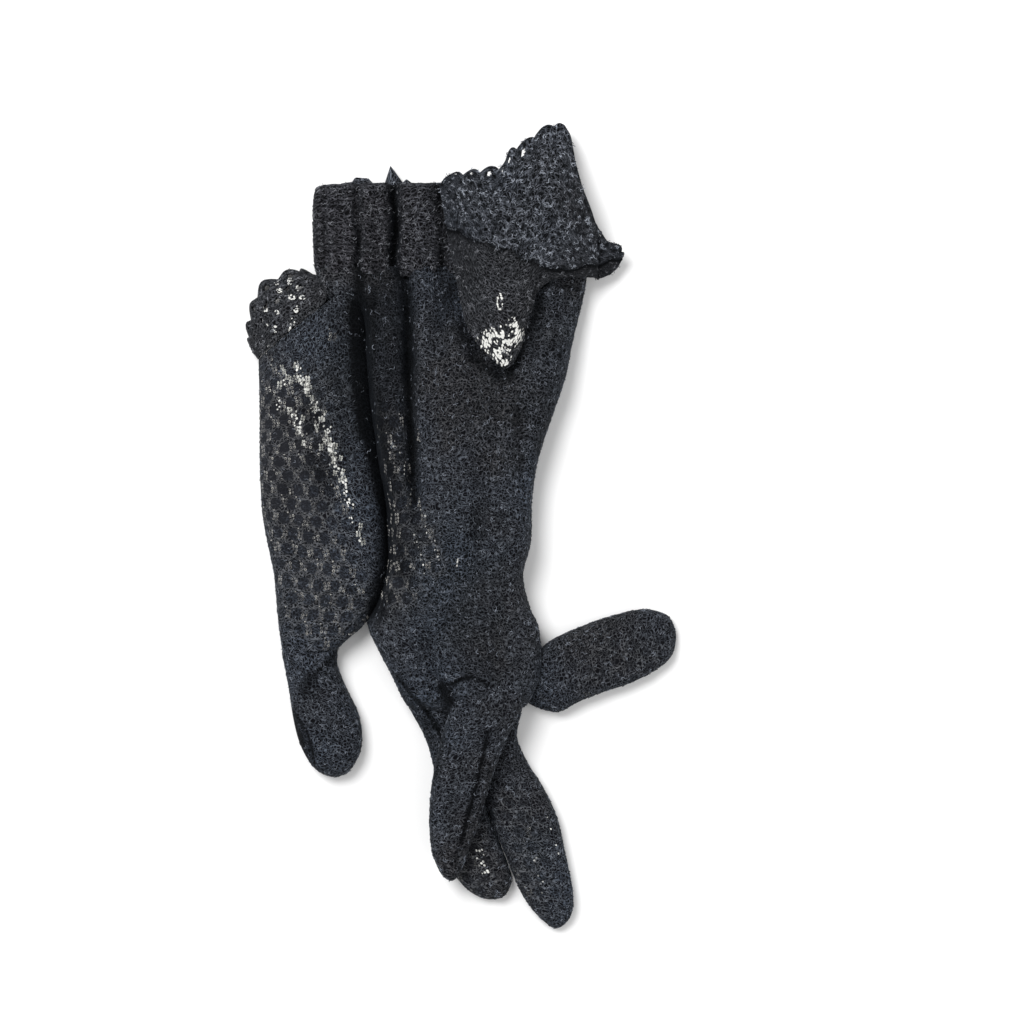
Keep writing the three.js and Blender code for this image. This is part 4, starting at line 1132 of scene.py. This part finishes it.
hem_flat = outer_edge[None] * (1 - hem_v) + inner_edge[None] * hem_v
hem_top = top_across(2 * hem_table[:, 0] - 1, SIDE_ROWS[0][4] * HAND_HEIGHT)
hem_rise = 0.0012 + (hem_top[None] - 0.0012) * np.sin(hem_v[..., 0] * math.pi / 2) ** 0.8
hem_rise = hem_rise + ripple(hem_flat, [(0.008, 40, 0.0004, 0.6)])
hem_places = []
for i in range(SIDE_SCALLOPS):
    hem_places.append(((i + 0.5) / SIDE_SCALLOPS, 0.14, 0.024))
    hem_places.append((i / SIDE_SCALLOPS + 0.01, 0.3, 0.02))
    hem_places.append(((i + 0.5) / SIDE_SCALLOPS, 0.46, 0.02))
hem_holes = near_eyelets(HEM_COLUMNS, HEM_LINES, hem_places, 2.4)

HEM_SPECKS = [  # specks of painted light, where the hem shows what lies under it, in the row frame
    (-57, 74.3), (-55.9, 71.2), (-52.7, 74.3), (-49.9, 71.9), (-48.4, 69.1), (-51.9, 69.1), (-56.7, 64.4),
    (-50.3, 65.2), (-51.5, 61.3), (-56.7, 59.2), (-51.9, 58.8), (-52.7, 55.4), (-58.6, 53.7),
    (-47.6, 56.5), (-60, 66), (-59.5, 60),
]


def hem_specks(points):
    """How bare the side hem is round each speck of painted light, no two of them quite the same."""
    total = np.zeros(len(points))
    for i, (x, y) in enumerate(HEM_SPECKS):
        off = points[:, :2] * 1000 - np.array([x, y])
        far = np.hypot(off[:, 0] * (1 + 0.2 * math.sin(i)), off[:, 1] * (1 - 0.2 * math.sin(i)))
        total = np.maximum(total, (0.8 - 0.15 * math.cos(i * 2.1)) * np.exp(-(((far - 0.7) / 0.36) ** 2)))
    return total


# Painted shade of the small holes, a little lighter on the side hem.
def hem_hole_shade(points):
    return 0.9 * hole_shade(points)


hem_skin = np.dstack([hem_flat, hem_rise])
side_hem = lace_sheet("side_hem_sheet", hem_skin, hem_holes, joined=True, bare=hem_specks, fold=hem_hole_shade)
wear(side_hem, "side_hem", "coarse_lace", corner_fine)
hem_curls = threads_over(
    "side_hem_curls", side_hem, curls, band_threads, "coarse_lace", Density=520000.0, Curl=0.00045,
    Thread=0.00011, Spread=3.1, Seed=6,
)

# Back hem: the points of the same hem that stand past the band's mouth, on the layer behind it. Thin
# lace cut along its pattern.
BACK_RISE = 0.0062
BACK_TUCKED = 0.0038  # how much of it lies inside the band's mouth
BACK_ROWS = [  # across the band, how far the hem stands out there
    (0.1, 0.12),
    (0.14, 0.2),
    (0.152, 0.42),
    (0.2, 0.36),
    (0.215, 0.14),
    (0.26, 0.16),
    (0.28, 1.0),
    (0.312, 0.4),
    (0.325, 0.16),
    (0.338, 0.34),
    (0.36, 0.12),
    (0.46, 0.16),
    (0.6, 0.3),
    (0.75, 0.22),
    (0.9, 0.14),
]
back_at = np.linspace(0.1, 0.9, 161)
back_table = np.array(BACK_ROWS)
back_rise = np.interp(back_at, back_table[:, 0], back_table[:, 1]) * BACK_RISE
back_v = np.linspace(0, 1, 9)[:, None]
back_x = np.repeat((band_low.x + back_at * band_wide)[None], 9, 0)
back_y = band_high.y - BACK_TUCKED + 0.0003 + (back_rise + BACK_TUCKED)[None] * (1 - back_v)
back_z = 0.0012 + 0.0022 * np.sin(math.pi * (1 - back_v) * 0.9) * (back_rise / BACK_RISE)[None] ** 0.5
back_hem = lace_sheet("back_hem_sheet", np.dstack([back_x, back_y, back_z]), np.zeros((8, 160), bool))
wear(back_hem, "back_hem", "coarse_lace", corner_lace)
back_curls = threads_over(
    "back_hem_curls", back_hem, curls, corner_threads, "coarse_lace", Density=600000.0, Curl=0.0004,
    Thread=0.0001, Spread=3.1, Seed=8,
)

# Thumb: a short tube of the hand's lace, closed at its tip, sewn to the end of the side fold.
THUMB = (0.039, 0.0215, 0.011)  # length, width, height
THUMB_ROWS = [  # along, left edge, right edge, height
    (-0.16, -0.37, 0.4, 0.86),
    (-0.05, -0.385, 0.41, 0.97),
    (0.03, -0.385, 0.4, 1.0),
    (0.13, -0.35, 0.41, 0.96),
    (0.32, -0.286, 0.55, 0.98),
    (0.49, -0.243, 0.7, 1.0),
    (0.67, -0.171, 0.757, 0.98),
    (0.8, -0.08, 0.729, 0.9),
    (0.91, 0.043, 0.629, 0.76),
    (0.97, 0.18, 0.53, 0.58),
]
DOWN = np.array([0.0, -1.0])
FINGER_COLUMNS = 96


def finger_skin(rows, size, mouth_middle, way, base, count, inset, waves, limit):
    """Rings of a closed finger: its edges run through the table's rows and meet round its tip."""
    length, width, height = size
    table = np.array(rows, float)
    edges = np.stack([table[:, 0], table[:, 1], table[:, 2], 0 * table[:, 3], table[:, 3]], 1)
    last = edges[-1]
    tip = np.array([1.0, (last[1] + last[2]) / 2, (last[1] + last[2]) / 2, last[4] * 0.42, last[4] * 0.42])
    beyond = np.array([last[0], last[2], last[1], last[4], 0.0])
    points = np.vstack([2 * edges[0] - edges[1], edges, tip, beyond])
    drawn = curve_through(points, count)
    side = np.array([-way[1], way[0]])
    at = mouth_middle + way * (drawn[:, :1] * (length - inset))
    left = at + side * drawn[:, 1:2] * width
    right = at + side * drawn[:, 2:3] * width
    if limit is not None:
        right[:, 0] = np.minimum(right[:, 0], limit(right[:, 1]))
    low = drawn[:, 3] * height
    tall = drawn[:, 4] * height - low

    def creasing(flat, rise):
        return ripple(flat, waves) * rise * np.minimum(1, tall[:, None] / (0.5 * height))

    return lying_rings(left, right, base + low, np.maximum(tall, 1e-4), FINGER_COLUMNS, inset, creasing)


SOFT_WAVES = [(0.008, 20, 0.00022, 0.1), (0.013, 100, 0.0004, 1.2)]


def finger(
    name, rows, size, mouth_middle, way, dense, seed, base=0.0, waves=SOFT_WAVES, limit=None, **facts
):
    """A finger of cloth with curls over it, and where it is thin the dim loops of its net."""
    skin = partial(finger_skin, rows, size, mouth_middle, way, base, waves=waves, limit=limit)
    skins = [skin(count=96, inset=0.0), skin(count=28, inset=CLOTH)]
    piece = cloth_tube(name + "_lace", skins, True, **facts)
    wear(piece, name, "fine_lace", fine_lace)
    threads_over(
        name + "_curls", piece, curls, fine_threads, "fine_lace", Density=dense, Curl=0.0005,
        Thread=0.000085, Spread=1.2, Seed=seed,
    )
    if "thin" in facts:
        threads_over(
            name + "_knots", piece, net_knots, dim_threads, "fine_lace", Pitch=NET_PITCH, Ring=0.00034,
            Thread=0.0001, Left=-5.5 * NET_PITCH, Across=11, Down=18, Seed=seed,
        )


fold_end = SIDE_ROWS[-1]
thumb_mouth = hand_plan((fold_end[0] + fold_end[2]) / 2, fold_end[1]) + DOWN * SEAM_GAP
THUMB_WAVES = [(0.009, 30, 0.0003, 0.4), (0.014, 120, 0.0005, 1.0)]
finger("thumb", THUMB_ROWS, THUMB, thumb_mouth, DOWN, 380000.0, 21, waves=THUMB_WAVES)

# Fingers: four tubes of the same lace, closed at their tips and sewn to the end of the hand. The
# index finger lies folded over the middle and ring fingers, and the little finger points aside.
INDEX = (0.057, 0.0215, 0.009)  # length, width, height
MIDDLE = (0.064, 0.020, 0.009)
RING = (0.073, 0.020, 0.009)
LITTLE = (0.042, 0.022, 0.009)
INDEX_ROWS = [  # along, left edge, right edge, height, in each of these tables
    (-0.14, -0.4, 0.5, 0.6),
    (-0.05, -0.49, 0.53, 0.86),
    (0.02, -0.51, 0.52, 1.0),
    (0.09, -0.51, 0.49, 1.02),
    (0.23, -0.63, 0.3, 1.0),
    (0.39, -0.73, 0.14, 0.96),
    (0.56, -0.79, 0.0, 0.92),
    (0.7, -0.8, -0.11, 0.86),
    (0.83, -0.77, -0.24, 0.8),
    (0.93, -0.68, -0.33, 0.66),
    (0.98, -0.58, -0.4, 0.54),
]
MIDDLE_ROWS = [
    (0.0, -0.5, 0.5, 1.0),
    (0.1, -0.33, 0.6, 0.98),
    (0.21, -0.14, 0.7, 0.95),
    (0.32, -0.03, 0.75, 0.94),
    (0.45, 0.05, 0.8, 0.94),
    (0.6, 0.11, 0.9, 0.96),
    (0.75, 0.19, 1.05, 0.94),
    (0.88, 0.34, 1.2, 0.86),
    (0.945, 0.5, 1.17, 0.74),
    (0.985, 0.69, 1.08, 0.58),
]
RING_ROWS = [
    (0.0, -0.47, 0.46, 1.0),
    (0.13, -0.38, 0.34, 1.0),
    (0.205, -0.34, 0.33, 1.0),
    (0.3, -0.28, 0.49, 1.0),
    (0.4, -0.23, 0.72, 1.0),
    (0.53, -0.09, 0.94, 1.0),
    (0.7, 0.16, 1.08, 0.96),
    (0.835, 0.36, 1.18, 0.88),
    (0.92, 0.56, 1.18, 0.76),
    (0.975, 0.76, 1.08, 0.58),
]
LITTLE_ROWS = [
    (-0.24, -0.2, 0.26, 0.75),
    (-0.1, -0.41, 0.34, 0.93),
    (0.0, -0.5, 0.39, 1.0),
    (0.1, -0.53, 0.5, 1.0),
    (0.25, -0.41, 0.6, 1.0),
    (0.43, -0.31, 0.7, 0.98),
    (0.61, -0.23, 0.77, 0.94),
    (0.78, -0.11, 0.8, 0.86),
    (0.91, 0.03, 0.73, 0.72),
    (0.97, 0.17, 0.63, 0.56),
]
KNUCKLES = (0.441, 0.835)  # the ends of the hand's last row in the plan, shares of its width


def mouth_on_hand(share):
    """The middle of a finger's mouth, a share of the way across the knuckles."""
    across = KNUCKLES[0] + share * (KNUCKLES[1] - KNUCKLES[0])
    return hand_plan(across, 1.0) + DOWN * SEAM_GAP


ring_mouth = mouth_on_hand(0.72)


def beside_ring(y):
    """How far to the right the middle finger may reach, beside the ring finger."""
    along = (ring_mouth[1] - y) / RING[0]
    table = np.array(RING_ROWS)
    return ring_mouth[0] + np.interp(along, table[:, 0], table[:, 1]) * RING[1] - SEAM_GAP


little_lean = math.radians(5)
little_way = np.array([math.cos(little_lean), math.sin(little_lean)])
little_mouth = hand_plan(0.857, 0.96) + little_way * 2 * SEAM_GAP
# The fingers' pale streaks are painted light, where the net shows what lies under it.
RING_STREAKS = streaks([(27, -91, 30.5, -103, 0.7, 0.22), (20.5, -96, 26, -114, 2.2, 0.16)])
RING_NET = streaks([(16, -90, 24, -115, 9, 0.28)])
MIDDLE_STREAKS = streaks([(5, -100, 8, -108, 1.5, 0.4)])
MIDDLE_NET = streaks([(0, -92, 6, -112, 7, 0.4)])
LITTLE_NET = streaks([(40, -45, 60, -42, 8, 0.2)])
OVER_OTHERS = 0.0097  # how high the index finger lies, on the middle and ring fingers
finger("ring_finger", RING_ROWS, RING, ring_mouth, DOWN, 300000.0, 22, thin=RING_NET, bare=RING_STREAKS)
finger(
    "middle_finger", MIDDLE_ROWS, MIDDLE, mouth_on_hand(0.25), DOWN, 300000.0, 23,
    limit=beside_ring, thin=MIDDLE_NET, bare=MIDDLE_STREAKS,
)
finger("little_finger", LITTLE_ROWS, LITTLE, little_mouth, little_way, 300000.0, 24, thin=LITTLE_NET)
finger("index_finger", INDEX_ROWS, INDEX, mouth_on_hand(0.64), DOWN, 420000.0, 25, base=OVER_OTHERS)

# Studio: a plain pale floor, a broad soft light from the upper left, and a camera straight above.
floor_mesh = bpy.data.meshes.new("floor")
floor_mesh.from_pydata([(-3, -3, 0), (3, -3, 0), (3, 3, 0), (-3, 3, 0)], [], [(0, 1, 2, 3)])
floor = new_object("floor", floor_mesh)
paper = bpy.data.materials.new("white_paper_floor")
paper.use_nodes = True
paper.node_tree.nodes["Principled BSDF"].inputs["Base Color"].default_value = linear("#f4f4f4")
paper.node_tree.nodes["Principled BSDF"].inputs["Roughness"].default_value = 0.9
floor_mesh.materials.append(paper)

world = bpy.data.worlds.new("studio")
world.use_nodes = True
world.node_tree.nodes["Background"].inputs[0].default_value = (1.0, 1.0, 1.0, 1.0)
world.node_tree.nodes["Background"].inputs[1].default_value = 0.6
bpy.context.scene.world = world


def soft_light(name, place, size, power):
    """A round soft lamp that points at the frame's origin."""
    lamp = bpy.data.lights.new(name, "AREA")
    lamp.shape = "DISK"
    lamp.size = size
    lamp.energy = power
    light = new_object(name, lamp)
    light.location = place
    light.rotation_euler = (-Vector(place)).to_track_quat("-Z", "Y").to_euler()


soft_light("key", (-0.45, 0.55, 1.1), 0.7, 16.0)
soft_light("fill", (0.9, -0.3, 0.9), 1.0, 3.0)

VIEW_MIDDLE = (0.0159, 0.0031)
VIEW_WIDTH = 0.3165
MATCHED_HEIGHT = 0.005  # the outlines were matched at about this height above the floor
camera = bpy.data.cameras.new("camera")
camera.lens = 100
camera.sensor_width = 36
camera.clip_start = 0.05
camera.clip_end = 20
eye = new_object("camera", camera)
eye.location = (*VIEW_MIDDLE, VIEW_WIDTH * camera.lens / camera.sensor_width + MATCHED_HEIGHT)
bpy.context.scene.camera = eye
bpy.context.scene.view_settings.view_transform = "Standard"
